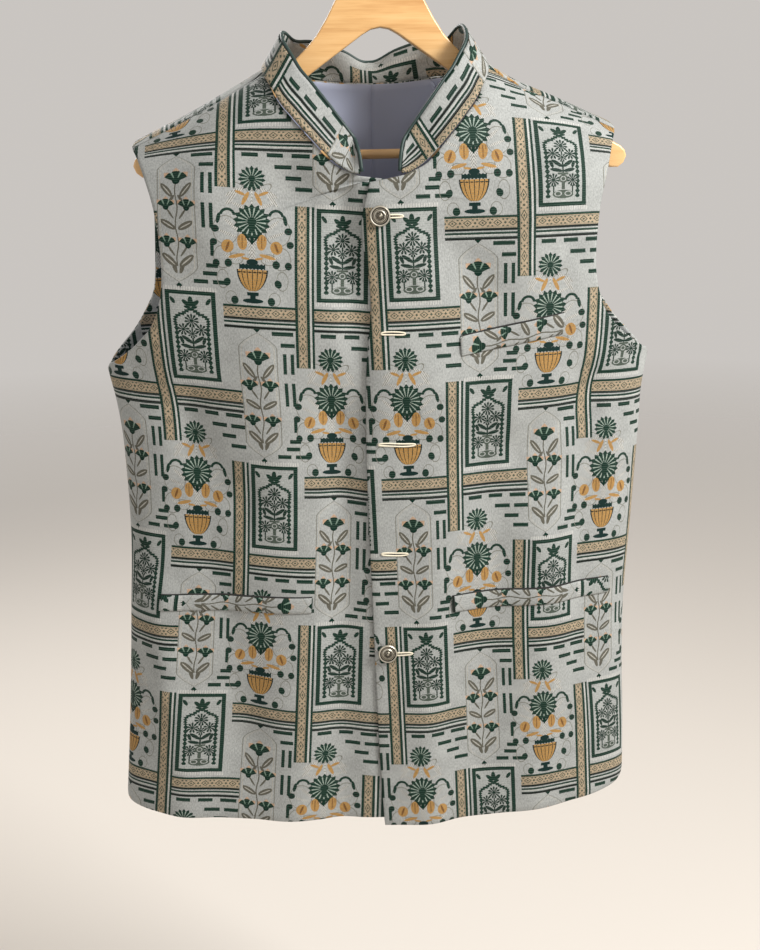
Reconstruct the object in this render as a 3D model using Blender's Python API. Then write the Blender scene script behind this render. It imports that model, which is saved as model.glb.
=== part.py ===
"""Nehru jacket on a wooden hanger, in metres, +Z up, its front facing -Y.

The origin is where the hook bears on a rail. Tables are in millimetres. "Right" and "left" are the
wearer's, so the right side is at -X.
"""

import math

import bmesh
import bpy
from mathutils import Vector

MM = 0.001
GAP = 0.3  # between pieces
MID = -6.0  # the jacket's centre line
ROUND = 100.0  # how far down the shoulder's rounding reaches
FULLNESS = 0.85  # 1 is an ellipse, less is fuller
SEAM = 32.0  # the shoulder seam, forward of the ridge
SIDE = math.radians(89.92)  # the side seam
CLOTH, LINING, COLLAR = 2.0, 1.0, 1.4  # walls
FRONT, BACK = 1, -1
RIGHT, LEFT = -1, 1

# the body at a height: z, half width right and left, depth in front and behind
LEVELS = (
    (-100, 262, 262, 62, 52),
    (-330, 258, 258, 62, 52),
    (-412, 251, 253, 61, 50),
    (-450, 244, 247, 60, 49),
    (-490, 240, 245, 58, 48),
    (-576, 239, 240, 55, 46),
    (-657, 244, 235, 52, 45),
    (-727, 249, 235, 50, 44),
    (-786, 254, 237, 48, 43),
    (-870, 262, 238, 47, 42),
)
# the shoulder's ridge: distance from the centre, height right and left
RIDGE = (
    (0, -116, -116),
    (20, -121, -120),
    (50, -134, -131),
    (98, -158, -154.5),
    (125, -173, -170),
    (165, -194, -187),
    (210, -215, -207),
    (226, -222, -214),
    (262, -241, -234),
)
# edges as t, distance from the centre, height (None is on the shoulder seam)
UNDER_EDGE = ((0, -15, -861), (0.5, -15, -430), (0.75, -15, -250.5))
OVER_EDGE = (
    (0, -7, -868),
    (0.1, -11, -780),
    (0.25, -14, -650),
    (0.4, -17, -510),
    (0.5, -16, -425),
    (0.6, -10.5, -355),
    (0.7, -17, -292),
    (0.75, -8, -250.5),
)
NECK = ((0.75, 20, -250.5), (0.8, 40, -241), (0.85, 58, -222), (0.9, 75, -202), (0.95, 89, -183), (1, 98.5, None))
ARM_FRONT = (
    (0.5, 248, -413),
    (0.54, 239, -408),
    (0.58, 222, -395),
    (0.62, 207, -380),
    (0.67, 198, -362),
    (0.73, 193, -338),
    (0.81, 193, -305),
    (0.89, 197, -274),
    (0.95, 204, -248),
    (1, 216, None),
)
ARM_BACK = (
    (0.5, 248, -413),
    (0.53, 238, -400),
    (0.57, 223, -382),
    (0.61, 209, -358),
    (0.65, 205, -340),
    (0.71, 203, -305),
    (0.77, 202, -268),
    (0.82, 203, -247),
    (0.87, 206, -230),
    (1, 216, None),
)
BACK_NECK = ((0, 0, -171), (0.12, 25, -170), (0.25, 54, -167), (0.34, 76, -164))
# where it comes over the ridge: t, distance from the centre, sigma
NECK_TURN = ((0.385, 88, -42), (0.425, 93, -27), (0.4625, 97, 0))
# the collar from its front end round to the centre back: t, distance from the centre, sigma or height of its
# seam, front or back, then how far its top edge is in, back and up
STAND = (
    (0.00, 18, -250.5, FRONT, 0, 3, 19),
    (0.05, 26, -249, FRONT, 5, 7, 25),
    (0.12, 39, -241, FRONT, 13, 10, 24),
    (0.22, 56, -224, FRONT, 16, 12, 26),
    (0.33, 75, -202, FRONT, 17, 12, 28),
    (0.43, 88, -184, FRONT, 17, 10, 28),
    (0.53, 97.5, -162, FRONT, 17, 4, 27),
    (0.66, 86, -162, BACK, 15, 4, 28),
    (0.78, 56, -167, BACK, 6, 9, 32),
    (0.89, 25, -170, BACK, 1, 14, 28),
    (1.00, 0, -171, BACK, 0, 19, 20),
)
# the corners of each welt, from its lower inner one: distance from the centre, height
CHEST_WELT = ((69, -408), (161, -393), (163, -375), (68, -392))
HIP_RIGHT = ((72, -646), (211, -643), (209, -629), (71, -632))
HIP_LEFT = ((60, -651), (214, -648), (214, -633), (59, -636))
WELT = 1.5
BUTTONS = (("button_top", -2, -284), ("button_bottom", -2, -689))
# a button's section: radius, height over its back
DOME = ((0, 0), (6.5, 0), (8.6, 1.0), (9.0, 2.0), (8.6, 2.9), (7.6, 3.2), (6.9, 2.8), (4.5, 3.6), (2.2, 4.2), (0, 4.3))
# half of the hanger's outline: the upper edge from the middle to the tip, and the lower one back
HANGER_TOP = ((0, -75), (13, -76), (24, -81), (32, -90), (39, -102), (47, -117), (56, -131), (65, -141), (76, -151.5))
HANGER_TIP = ((92, -163), (216, -230), (220, -234), (221.5, -239), (219, -245), (214, -249), (207, -249))
HANGER_LOW = ((76, -173), (66, -166), (16, -131), (8, -126.5), (0, -125))
HANGER_HALF = 6.0
BAR_RADIUS, BAR_HEIGHT, BAR_END = 4.3, -233.0, 196.0
WIRE, HOOK_RADIUS = 2.0, 21.0

COLOURS = {
    "brocade": (0.50, 0.52, 0.46),
    "lining_satin": (0.31, 0.33, 0.42),
    "piping_green": (0.02, 0.05, 0.05),
    "antique_silver": (0.42, 0.41, 0.38),
    "wood": (0.72, 0.48, 0.26),
    "steel": (0.55, 0.55, 0.55),
}
METALS = ("antique_silver", "steel")


def smooth(table, x, column=1):
    """The table's column at x, by a smooth curve through its rows."""
    rows = sorted(table)
    if x <= rows[0][0]:
        return rows[0][column]
    if x >= rows[-1][0]:
        return rows[-1][column]
    i = max(k for k in range(len(rows) - 1) if rows[k][0] <= x)
    before, a, b, after = rows[max(i - 1, 0)], rows[i], rows[i + 1], rows[min(i + 2, len(rows) - 1)]
    span = b[0] - a[0]
    u = (x - a[0]) / span
    slope_a = (b[column] - before[column]) / (b[0] - before[0]) * span
    slope_b = (after[column] - a[column]) / (after[0] - a[0]) * span
    lift = (2 * u**3 - 3 * u * u + 1) * a[column] + (3 * u * u - 2 * u**3) * b[column]
    return lift + (u**3 - 2 * u * u + u) * slope_a + (u**3 - u * u) * slope_b


def level(z, side):
    """Half width, depth in front and depth behind at a height."""
    return smooth(LEVELS, z, 1 if side == RIGHT else 2), smooth(LEVELS, z, 3), smooth(LEVELS, z, 4)


def ridge(q, side):
    return smooth(RIDGE, abs(q) * RIDGE[-1][0], 1 if side == RIGHT else 2)


def body(side, theta, sigma):
    """A point on the cloth's outer face: theta goes round from the centre line, sigma over the shoulder,
    above zero in front and below it behind.
    """
    q = math.sin(theta)
    phi = max(-math.pi / 2, min(math.pi / 2, sigma / ROUND))
    z = ridge(q, side) - ROUND * (1 - math.cos(phi)) - max(0, abs(sigma) - ROUND * math.pi / 2)
    half, front, behind = level(z, side)
    turn = math.copysign(abs(math.cos(theta)) ** FULLNESS, math.cos(theta))
    depth = front if sigma > 0 else behind
    return Vector((MID + side * half * q, -depth * math.sin(phi) * turn, z))


def normal(side, theta, sigma):
    across = body(side, theta + 0.01, sigma) - body(side, theta - 0.01, sigma)
    along = body(side, theta, sigma + 1) - body(side, theta, sigma - 1)
    return (along.cross(across) * side).normalized()


def place(side, out, z, face):
    """Theta and sigma of the point so far from the centre line and so high."""
    if z is None:
        return math.asin(out / 262), SEAM
    q = max(-1, min(1, out / level(z, side)[0]))
    drop = max(0, ridge(q, side) - z)
    sigma = ROUND * math.acos(1 - drop / ROUND) if drop < ROUND else ROUND * (math.pi / 2 - 1) + drop
    return math.asin(q), sigma * face


def edge(side, table, face, tip=SEAM):
    """The table's edge as theta and sigma at t; its last row may be on the shoulder seam."""
    rows = []
    for t, out, z in table:
        theta, sigma = place(side, out, z, face)
        rows.append((t, theta, tip if z is None else sigma))
    return lambda t: Vector((smooth(rows, t, 1), smooth(rows, t, 2)))


def side_seam(side, face, low=-843, top=-412):
    rows = ((0, low), (0.25, -630), (0.5, top))
    return lambda t: Vector((SIDE, place(side, 999, smooth(rows, t), face)[1]))


def then(first, at, second):
    return lambda t: first(t) if t < at - 1e-9 else second(t)


def line(a, b):
    return lambda t: a.lerp(b, t)


def patch(left, right, low, high):
    """A Coons patch between four edges, in theta and sigma."""

    def at(u, t):
        ruled = left(t).lerp(right(t), u) + low(u).lerp(high(u), t)
        return ruled - left(0).lerp(right(0), u).lerp(left(1).lerp(right(1), u), t)

    return at


def hem(side, face, near, z_near, far, z_far):
    """The bottom edge, a little lower at the centre than at the side."""

    def at(u):
        theta = near + (far - near) * u
        z = z_near + (z_far - z_near) * u**2.2
        return Vector((theta, place(side, level(z, side)[0] * math.sin(theta), z, face)[1]))

    return at


def on_cloth(side, spot, off):
    return body(side, spot[0], spot[1]) + normal(side, spot[0], spot[1]) * off


def material(slot):
    found = bpy.data.materials.new(slot)
    found.use_nodes = True
    shader = found.node_tree.nodes["Principled BSDF"]
    shader.inputs["Base Color"].default_value = (*COLOURS[slot], 1)
    shader.inputs["Metallic"].default_value = 1.0 if slot in METALS else 0.0
    shader.inputs["Roughness"].default_value = 0.35 if slot in METALS else 0.7
    found.diffuse_color = (*COLOURS[slot], 1)
    return found


def solid(name, slot, points, faces):
    """A closed body from points in millimetres, its faces turned out."""
    mesh = bpy.data.meshes.new(name)
    mesh.from_pydata([tuple(p * MM) for p in points], [], faces)
    work = bmesh.new()
    work.from_mesh(mesh)
    bmesh.ops.recalc_face_normals(work, faces=work.faces)
    if work.calc_volume(signed=True) < 0:
        bmesh.ops.reverse_faces(work, faces=work.faces)
    work.to_mesh(mesh)
    work.free()
    mesh.materials.append(material(slot))
    found = bpy.data.objects.new(name, mesh)
    bpy.context.collection.objects.link(found)
    return found


def shell(name, slot, outer, inner, keep=None, mirrored=0):
    """A thin body between two grids of points, closed round its rim. Keep says which cells it has, and
    mirrored how many of its first columns run backwards, so that layers are split along the same diagonals.
    """
    wide, tall = len(outer) - 1, len(outer[0]) - 1
    cells = {(i, j) for i in range(wide) for j in range(tall) if keep is None or keep(i, j)}
    points, index = [], {}

    def at(i, j, layer):
        if (i, j, layer) not in index:
            index[i, j, layer] = len(points)
            points.append((outer, inner)[layer][i][j])
        return index[i, j, layer]

    faces = []
    for i, j in sorted(cells):
        corners = (i, j), (i + 1, j), (i + 1, j + 1), (i, j + 1)
        halves = ((0, 1, 3), (1, 2, 3)) if i < mirrored else ((0, 1, 2), (0, 2, 3))
        for layer in (0, 1):
            faces += [[at(*corners[k], layer) for k in half] for half in halves]
        for k, beside in enumerate(((i, j - 1), (i + 1, j), (i, j + 1), (i - 1, j))):
            if beside not in cells:
                a, b = corners[k], corners[(k + 1) % 4]
                faces.append([at(*a, 0), at(*b, 0), at(*b, 1), at(*a, 1)])
    return solid(name, slot, points, faces)


def panel(name, slot, columns, rows, wall, under=0.0, lift=None, keep=None, mirrored=0):
    """A piece of cloth on columns (side, patch, u) and rows (t), its outer face `under` below the body's."""
    grids = ([], [])
    for side, at, u in columns:
        spots = [at(u, t) for t in rows]
        raised = [lift(side, spot) if lift else 0.0 for spot in spots]
        for grid, off in zip(grids, (-under, -under - wall)):
            grid.append([on_cloth(side, spot, off + up) for spot, up in zip(spots, raised)])
    return shell(name, slot, *grids, keep, mirrored)


def over_lift(side, spot):
    """The over front rides on the under one and comes down beyond it."""
    out = level(-500, side)[0] * math.sin(spot[0])
    share = max(0.0, min(1.0, (75 - out) / 50))
    return 3.2 * share * share * (3 - 2 * share)


def fronts():
    for name, side, inner, z_near, near_out, lift in (
        ("front_right", RIGHT, UNDER_EDGE, -861, -15, None),
        ("front_left", LEFT, OVER_EDGE, -868, -7, over_lift),
    ):
        centre = then(edge(side, inner, FRONT), 0.75, edge(side, NECK, FRONT))
        outer = then(side_seam(side, FRONT), 0.5, edge(side, ARM_FRONT, FRONT))
        near = place(side, near_out, z_near, FRONT)[0]
        low = hem(side, FRONT, near, z_near, SIDE, -843)
        at = patch(centre, outer, low, line(centre(1), outer(1)))
        columns = [(side, at, i / 14) for i in range(15)]
        panel(name, "brocade", columns, [j / 24 for j in range(25)], CLOTH, lift=lift)


def back_half(side):
    """Half of the back between the centre line and the side."""
    centre = line(Vector(place(side, 0, -864, BACK)), Vector(place(side, 0, -171, BACK)))
    armhole = edge(side, ARM_BACK, BACK, SEAM - 2 * GAP)
    outer = then(side_seam(side, BACK), 0.5, armhole)
    low = hem(side, BACK, 0.0, -864, SIDE, -843)
    rows = [(u, *place(side, out, z, BACK)) for u, out, z in BACK_NECK]
    rows += [(u, math.asin(out / 262), sigma) for u, out, sigma in NECK_TURN]
    rows.append((0.5, math.asin(98.5 / 262), SEAM - 2 * GAP))
    neck = Vector(rows[-1][1:])

    def high(u):
        if u < 0.5:
            return Vector((smooth(rows, u, 1), smooth(rows, u, 2)))
        return neck.lerp(armhole(1), (u - 0.5) * 2)

    return patch(centre, outer, low, high)


def backs():
    """The back, and inside it on the same points its lining and the facings of its armholes."""
    across = (0, 1, 2, 3, 4, 4.6, 5.1, 5.55, 6, 7, 8, 9, 10, 11, 12)
    wide, tall, strip, pit = len(across) - 1, 24, 12, 12
    halves = {side: back_half(side) for side in (RIGHT, LEFT)}
    rows = [j / tall for j in range(tall + 1)]
    columns = [(RIGHT, halves[RIGHT], u / 12) for u in reversed(across[1:])]
    columns += [(LEFT, halves[LEFT], u / 12) for u in across]
    panel("back", "brocade", columns, rows, CLOTH, mirrored=wide)
    for side, word in ((RIGHT, "right"), (LEFT, "left")):
        columns = [(side, halves[side], max(u, 0.012) / 12) for u in across]
        panel(
            "back_lining_" + word,
            "lining_satin",
            columns,
            rows[1:],
            LINING,
            CLOTH + 4 * GAP,
            keep=lambda i, j: (i < strip or j < pit) and (i < 4 or j < 18),
        )
        columns = [(side, halves[side], u / 12) for u in (10.06, 11, 12)]
        facing_rows = [max(j, pit + 1.06) / tall for j in range(pit + 1, tall + 1)]
        panel("armhole_facing_" + word, "brocade", columns, facing_rows, LINING, CLOTH + 2 * GAP)


def stand(t, share, off):
    """A point of the collar: t goes from the right end (-1) round the back (0) to the left end (1)."""

    def on_face(along, up):
        side = LEFT if along > 0 else RIGHT
        at = 1 - abs(along)
        theta, sigma = [smooth(SEAM_LINE[side], at, c) for c in (1, 2)]
        foot = body(side, theta, sigma)
        way = Vector((-side * smooth(STAND, at, 4), smooth(STAND, at, 5), smooth(STAND, at, 6)))
        return foot + way.normalized() * 1.8 + (way - way.normalized() * 1.8) * up

    along = on_face(t + 0.004, share) - on_face(t - 0.004, share)
    upward = on_face(t, share + 0.05) - on_face(t, share - 0.05)
    return on_face(t, share) + along.cross(upward).normalized() * off


SEAM_LINE = {
    side: [(row[0], *place(side, row[1], row[2], row[3])) for row in STAND] for side in (RIGHT, LEFT)
}


def collar():
    steps = [(-20 + i) / 20 for i in range(41)]
    for name, off in (("collar_inner", 0.0), ("collar_outer", -COLLAR - GAP)):
        grids = [[[stand(t, s / 2, off - deep) for s in range(3)] for t in steps] for deep in (0, COLLAR)]
        shell(name, "brocade", *grids)
    middle, radius = -COLLAR - GAP / 2, 1.5
    rim = [(-1, up) for up in (0.1, 0.4, 0.7, 0.9)] + [(t, 1) for t in steps] + [(1, up) for up in (0.9, 0.7, 0.4, 0.1)]
    bare = [stand(t, up, middle) for t, up in rim]
    path = []
    for i, (t, up) in enumerate(rim):
        along = bare[min(i + 1, len(rim) - 1)] - bare[max(i - 1, 0)]
        out = stand(t, up, 0) - stand(t, up, -1)
        path.append(bare[i] + out.cross(along).normalized() * (radius + 2 * GAP))
    tube("collar_piping", "piping_green", path, radius, 8)


def tube(name, slot, path, radius, sides):
    """A closed round cord along a path."""
    points, faces, frame = [], [], None
    for i, here in enumerate(path):
        along = (path[min(i + 1, len(path) - 1)] - path[max(i - 1, 0)]).normalized()
        if frame is None:
            frame = along.orthogonal().normalized()
        frame = (frame - along * frame.dot(along)).normalized()
        other = along.cross(frame)
        for k in range(sides):
            angle = 2 * math.pi * k / sides
            points.append(here + (frame * math.cos(angle) + other * math.sin(angle)) * radius)
    for i in range(len(path) - 1):
        for k in range(sides):
            n = (k + 1) % sides
            faces.append([i * sides + k, i * sides + n, (i + 1) * sides + n, (i + 1) * sides + k])
    faces.append(list(range(sides)))
    faces.append(list(range((len(path) - 1) * sides, len(path) * sides)))
    return solid(name, slot, points, faces)


def welts():
    for name, side, corners, lift in (
        ("chest_welt", LEFT, CHEST_WELT, over_lift),
        ("hip_welt_right", RIGHT, HIP_RIGHT, None),
        ("hip_welt_left", LEFT, HIP_LEFT, over_lift),
    ):
        a, b, c, d = (Vector(corner) for corner in corners)
        grids = ([], [])
        for i in range(13):
            for grid, off in zip(grids, (GAP + WELT, GAP)):
                column = []
                for j in range(3):
                    out, z = a.lerp(b, i / 12).lerp(d.lerp(c, i / 12), j / 2)
                    spot = Vector(place(side, out, z, FRONT))
                    column.append(on_cloth(side, spot, off + (lift(side, spot) if lift else 0)))
                grid.append(column)
        shell(name, "brocade", *grids)


def buttons():
    """Shank buttons on the over front, their backs just off the cloth."""
    around = 28
    for name, out, z in BUTTONS:
        spot = Vector(place(LEFT, out, z, FRONT))
        axis = normal(LEFT, *spot)
        foot = on_cloth(LEFT, spot, over_lift(LEFT, spot) + 2 * GAP)
        sideways = axis.orthogonal().normalized()
        other = axis.cross(sideways)
        points = [foot + axis * DOME[0][1], foot + axis * DOME[-1][1]]
        rings = DOME[1:-1]
        for radius, height in rings:
            for k in range(around):
                angle = 2 * math.pi * k / around
                way = sideways * math.cos(angle) + other * math.sin(angle)
                points.append(foot + axis * height + way * radius)
        faces = []
        for k in range(around):
            n = (k + 1) % around
            faces.append([0, 2 + n, 2 + k])
            last = 2 + (len(rings) - 1) * around
            faces.append([1, last + k, last + n])
            for r in range(len(rings) - 1):
                low, high = 2 + r * around, 2 + (r + 1) * around
                faces.append([low + k, low + n, high + n, high + k])
        solid(name, "antique_silver", points, faces)


def cut(target, cutter):
    """Takes the cutter out of the target."""
    tool = target.modifiers.new("cut", "BOOLEAN")
    tool.operation = "DIFFERENCE"
    tool.solver = "EXACT"
    tool.object = cutter
    bpy.context.view_layer.update()
    depsgraph = bpy.context.evaluated_depsgraph_get()
    mesh = bpy.data.meshes.new_from_object(target.evaluated_get(depsgraph))
    target.modifiers.clear()
    target.data = mesh
    bpy.data.objects.remove(cutter)


def hanger():
    half = list(HANGER_TOP) + list(HANGER_TIP) + list(HANGER_LOW)
    outline = half + [(-x, z) for x, z in reversed(half[1:-1])]
    count = len(outline)
    edge_in = 1.6
    points = []
    for y, shrink in ((-1, True), (-1, False), (1, False), (1, True)):
        for i, (x, z) in enumerate(outline):
            before, after = Vector(outline[i - 1]), Vector(outline[(i + 1) % count])
            way = (after - before).normalized()
            inward = Vector((way.y, -way.x)) * (edge_in if shrink else 0)
            deep = HANGER_HALF if shrink else HANGER_HALF - edge_in
            points.append(Vector((x + inward.x, y * deep, z + inward.y)))
    faces = [list(range(count)), list(range(3 * count, 4 * count))]
    for ring in range(3):
        for i in range(count):
            n = (i + 1) % count
            faces.append([ring * count + i, ring * count + n, (ring + 1) * count + n, (ring + 1) * count + i])
    wood = solid("hanger_body", "wood", points, faces)
    for side in (RIGHT, LEFT):
        ends = [Vector((side * x, 0, BAR_HEIGHT)) for x in (120, BAR_END + GAP)]
        cut(wood, tube("bore", "wood", ends, BAR_RADIUS + GAP, 24))
    cut(wood, tube("bore", "wood", [Vector((0, 0, -99)), Vector((0, 0, -60))], WIRE + GAP, 16))
    bar = [Vector((-BAR_END, 0, BAR_HEIGHT)), Vector((BAR_END, 0, BAR_HEIGHT))]
    tube("hanger_bar", "wood", bar, BAR_RADIUS, 24)

    eye = Vector((0, 0, WIRE - HOOK_RADIUS))
    path = [Vector((0, 0, z)) for z in (-98, -80, -66)]
    turn = [math.radians(a) for a in range(-60, 206, 9)]
    ring = [eye + Vector((math.cos(a), 0, math.sin(a))) * HOOK_RADIUS for a in turn]
    start, end = path[-1], ring[0]
    arms = start + Vector((0, 0, 13)), end - Vector((0.866, 0, 0.5)) * 9
    for i in range(1, 8):
        u = i / 8
        path.append(
            start * (1 - u) ** 3 + arms[0] * 3 * u * (1 - u) ** 2 + arms[1] * 3 * u * u * (1 - u) + end * u**3
        )
    tube("hanger_hook", "steel", path + ring, WIRE, 12)


def main():
    for thing in list(bpy.data.objects):
        bpy.data.objects.remove(thing)
    fronts()
    backs()
    collar()
    welts()
    buttons()
    hanger()


if __name__ == "__main__":
    main()
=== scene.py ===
"""Nehru jacket on a wooden hanger: its cloth, brocade, buttons and wood, with a camera and light.

Lengths in the tables are millimetres. "Right" and "left" are the wearer's, so the right side is at -X.
"""

import math

import bmesh
import bpy
import numpy as np
from mathutils import Matrix, Vector


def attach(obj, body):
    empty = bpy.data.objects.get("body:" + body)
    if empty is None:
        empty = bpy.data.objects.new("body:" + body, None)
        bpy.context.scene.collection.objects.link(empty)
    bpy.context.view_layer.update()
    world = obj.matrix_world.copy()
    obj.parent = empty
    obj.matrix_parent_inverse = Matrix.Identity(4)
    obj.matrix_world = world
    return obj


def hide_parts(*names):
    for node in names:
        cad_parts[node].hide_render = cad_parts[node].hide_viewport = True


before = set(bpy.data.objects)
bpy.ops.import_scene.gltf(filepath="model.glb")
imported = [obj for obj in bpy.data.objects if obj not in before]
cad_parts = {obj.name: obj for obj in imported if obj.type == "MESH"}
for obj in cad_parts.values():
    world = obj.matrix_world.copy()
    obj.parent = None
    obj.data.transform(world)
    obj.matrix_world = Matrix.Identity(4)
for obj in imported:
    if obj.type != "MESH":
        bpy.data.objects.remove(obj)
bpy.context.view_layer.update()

# ---------------------------------------------------------------- the fronts
# The right and the left front, each one piece of silver brocade figured in green, gold and grey, with
# satin inside. The armhole, neckline and side seam are cut on its edges. The left laps over the right,
# and both hang from the shoulder seams.

MM = 0.001
FINE = 1
RIGHT, LEFT = -1, 1
FRONT, BACK = 1, -1
GAP = 0.3  # between pieces
MID = -6.0  # the jacket's centre line
WIDEST = 262.0  # the body's half width that the ridge and the angles count from
ROUND = 100.0  # how far down the shoulder's rounding reaches
FULLNESS = 0.85  # 1 is an ellipse, less is fuller
SEAM = 32.0  # the shoulder seam, forward of the ridge
SIDE = math.radians(89.92)  # the side seam
CLOTH = 2.0  # the lined brocade's wall
NECK_POINT, SHOULDER_POINT = 98.5, 216.0  # the shoulder seam's two ends, from the centre line
CHEST = (245, 58)  # half width and depth of the curve that the cloth's width is measured over
LAP_LIFT = 3.2  # how far the over front stands off the body at its edge
FOLD_GAIN = 2.0  # on the depths of the folds below
# the body at a height: z, half width right and left, depth in front and behind
LEVELS = (
    (-100, 262, 262, 62, 52),
    (-330, 258, 258, 62, 52),
    (-412, 251, 253, 61, 50),
    (-450, 244, 247, 60, 49),
    (-490, 240, 245, 58, 48),
    (-576, 239, 240, 55, 46),
    (-657, 244, 235, 52, 45),
    (-727, 249, 235, 50, 44),
    (-786, 254, 237, 48, 43),
    (-870, 262, 238, 47, 42),
)
# the shoulder's ridge: distance from the centre, height right and left
RIDGE = (
    (0, -116, -116),
    (20, -121, -120),
    (50, -134, -131),
    (98, -158, -154.5),
    (125, -173, -170),
    (165, -194, -187),
    (210, -215, -207),
    (226, -222, -214),
    (WIDEST, -241, -234),
)
# edges as t, distance from the centre, height (None is on the shoulder seam)
UNDER_EDGE = ((0, -15, -861), (0.5, -15, -430), (0.75, -15, -250.5))
OVER_EDGE = (
    (0, -7, -868),
    (0.1, -11, -780),
    (0.25, -14, -650),
    (0.4, -17, -510),
    (0.5, -16, -425),
    (0.6, -10.5, -355),
    (0.7, -17, -292),
    (0.75, -8, -250.5),
)
NECK = (
    (0.75, 20, -250.5),
    (0.8, 40, -241),
    (0.85, 58, -222),
    (0.9, 75, -202),
    (0.95, 89, -183),
    (1, NECK_POINT, None),
)
ARM_FRONT = (
    (0.5, 248, -413),
    (0.54, 239, -408),
    (0.58, 222, -395),
    (0.62, 207, -380),
    (0.67, 198, -362),
    (0.73, 193, -338),
    (0.81, 193, -305),
    (0.89, 197, -274),
    (0.95, 204, -248),
    (1, SHOULDER_POINT, None),
)
# soft folds from the centre line and height of one end to the other: half width, depth (above 0 stands out)
FRONT_FOLDS = (
    (-78, -268, -18, -352, 30, -5.0),
    (-30, -262, -24, -470, 15, -3.0),
    (-34, -392, 62, -446, 34, 4.0),
    (58, -300, 96, -372, 26, -2.6),
    (-46, -470, -42, -862, 22, -4.0),
    (-104, -430, -96, -850, 34, 4.6),
    (-168, -455, -150, -770, 26, -4.6),
    (-206, -640, -208, -850, 24, 4.0),
    (-222, -424, -128, -532, 20, -3.4),
    (36, -560, 44, -866, 28, 3.4),
    (92, -500, 100, -800, 26, -3.8),
    (142, -600, 150, -856, 28, 4.2),
    (188, -450, 192, -720, 24, -3.6),
    (218, -422, 132, -506, 20, -3.2),
    (150, -250, 120, -330, 28, 2.4),
    (-150, -262, -118, -356, 28, 2.6),
)
BACK_FOLDS = (
    (-52, -236, -112, -420, 32, -5.0),
    (66, -240, 118, -398, 28, -4.2),
    (8, -400, -8, -858, 34, -5.4),
    (-102, -470, -118, -856, 32, 5.2),
    (112, -520, 98, -858, 30, 4.8),
    (-192, -450, -170, -800, 26, -4.2),
    (186, -470, 194, -790, 24, -4.0),
    (-216, -410, -66, -516, 22, -3.6),
    (214, -404, 92, -500, 20, -3.0),
    (56, -640, 50, -860, 22, 3.4),
)


def smooth(table, x, column=1):
    """The table's column at x, by a smooth curve through its rows."""
    rows = np.array(sorted(table), float)
    at, value = rows[:, 0], rows[:, column]
    x = np.clip(np.asarray(x, float), at[0], at[-1])
    i = np.clip(np.searchsorted(at, x, side="right") - 1, 0, len(at) - 2)
    before, after = np.maximum(i - 1, 0), np.minimum(i + 2, len(at) - 1)
    span = at[i + 1] - at[i]
    u = (x - at[i]) / span
    slope_a = (value[i + 1] - value[before]) / (at[i + 1] - at[before]) * span
    slope_b = (value[after] - value[i]) / (at[after] - at[i]) * span
    lift = (2 * u**3 - 3 * u * u + 1) * value[i] + (3 * u * u - 2 * u**3) * value[i + 1]
    return lift + (u**3 - 2 * u * u + u) * slope_a + (u**3 - u * u) * slope_b


def step(value, low, high):
    """0 below low and 1 above high, smoothly."""
    share = np.clip((value - low) / (high - low), 0, 1)
    return share * share * (3 - 2 * share)


def unit(vectors):
    return vectors / np.maximum(np.linalg.norm(vectors, axis=-1, keepdims=True), 1e-12)


def level(z, side):
    """Half width, depth in front and depth behind at a height."""
    return smooth(LEVELS, z, 1 if side == RIGHT else 2), smooth(LEVELS, z, 3), smooth(LEVELS, z, 4)


def ridge(q, side):
    return smooth(RIDGE, np.abs(q) * WIDEST, 1 if side == RIGHT else 2)


def body(side, theta, sigma):
    """A point on the cloth's outer face: theta goes round from the centre line, sigma over the shoulder,
    above zero in front and below it behind.
    """
    theta, sigma = np.broadcast_arrays(np.asarray(theta, float), np.asarray(sigma, float))
    q = np.sin(theta)
    phi = np.clip(sigma / ROUND, -math.pi / 2, math.pi / 2)
    z = ridge(q, side) - ROUND * (1 - np.cos(phi)) - np.maximum(0, np.abs(sigma) - ROUND * math.pi / 2)
    half, front, behind = level(z, side)
    turn = np.copysign(np.abs(np.cos(theta)) ** FULLNESS, np.cos(theta))
    depth = np.where(sigma > 0, front, behind)
    return np.stack([MID + side * half * q, -depth * np.sin(phi) * turn, z], -1)


def normal(side, theta, sigma):
    across = body(side, theta + 0.01, sigma) - body(side, theta - 0.01, sigma)
    along = body(side, theta, sigma + 1) - body(side, theta, sigma - 1)
    return unit(np.cross(along, across) * side)


def drape(side, theta, sigma):
    """How far the hanging cloth stands out of the plain body."""
    at = body(side, theta, sigma)
    x, z = at[..., 0] - MID, at[..., 2]
    ahead = sigma > 0
    total = np.zeros(x.shape)
    for folds, here in ((FRONT_FOLDS, ahead), (BACK_FOLDS, ~ahead)):
        for x1, z1, x2, z2, wide, deep in folds:
            long_x, long_z = x2 - x1, z2 - z1
            share = ((x - x1) * long_x + (z - z1) * long_z) / (long_x**2 + long_z**2)
            bend = wide * 0.25 * np.sin(share * 3.6 + x1)
            share = np.clip(share, 0, 1)
            gap = np.hypot(x - x1 - share * long_x + bend, (z - z1 - share * long_z) * 0.6)
            grow = 0.7 + 0.3 * np.sin(share * 2.6 + z1)
            total += here * FOLD_GAIN * deep * grow * np.exp(-((gap / wide) ** 2) * 1.4)
    total += 0.9 * np.sin(x / 31 + z / 173 + 1) * step(-z, 420, 800) + 0.5 * np.sin(x / 17 - z / 61)
    total += 0.22 * np.sin(x / 6.1 + 2 * np.sin(z / 23)) * np.sin(z / 11.7 + np.sin(x / 19))
    return total * step(np.abs(sigma), 55, 130) * step(np.cos(theta), 0.0, 0.3)


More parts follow.
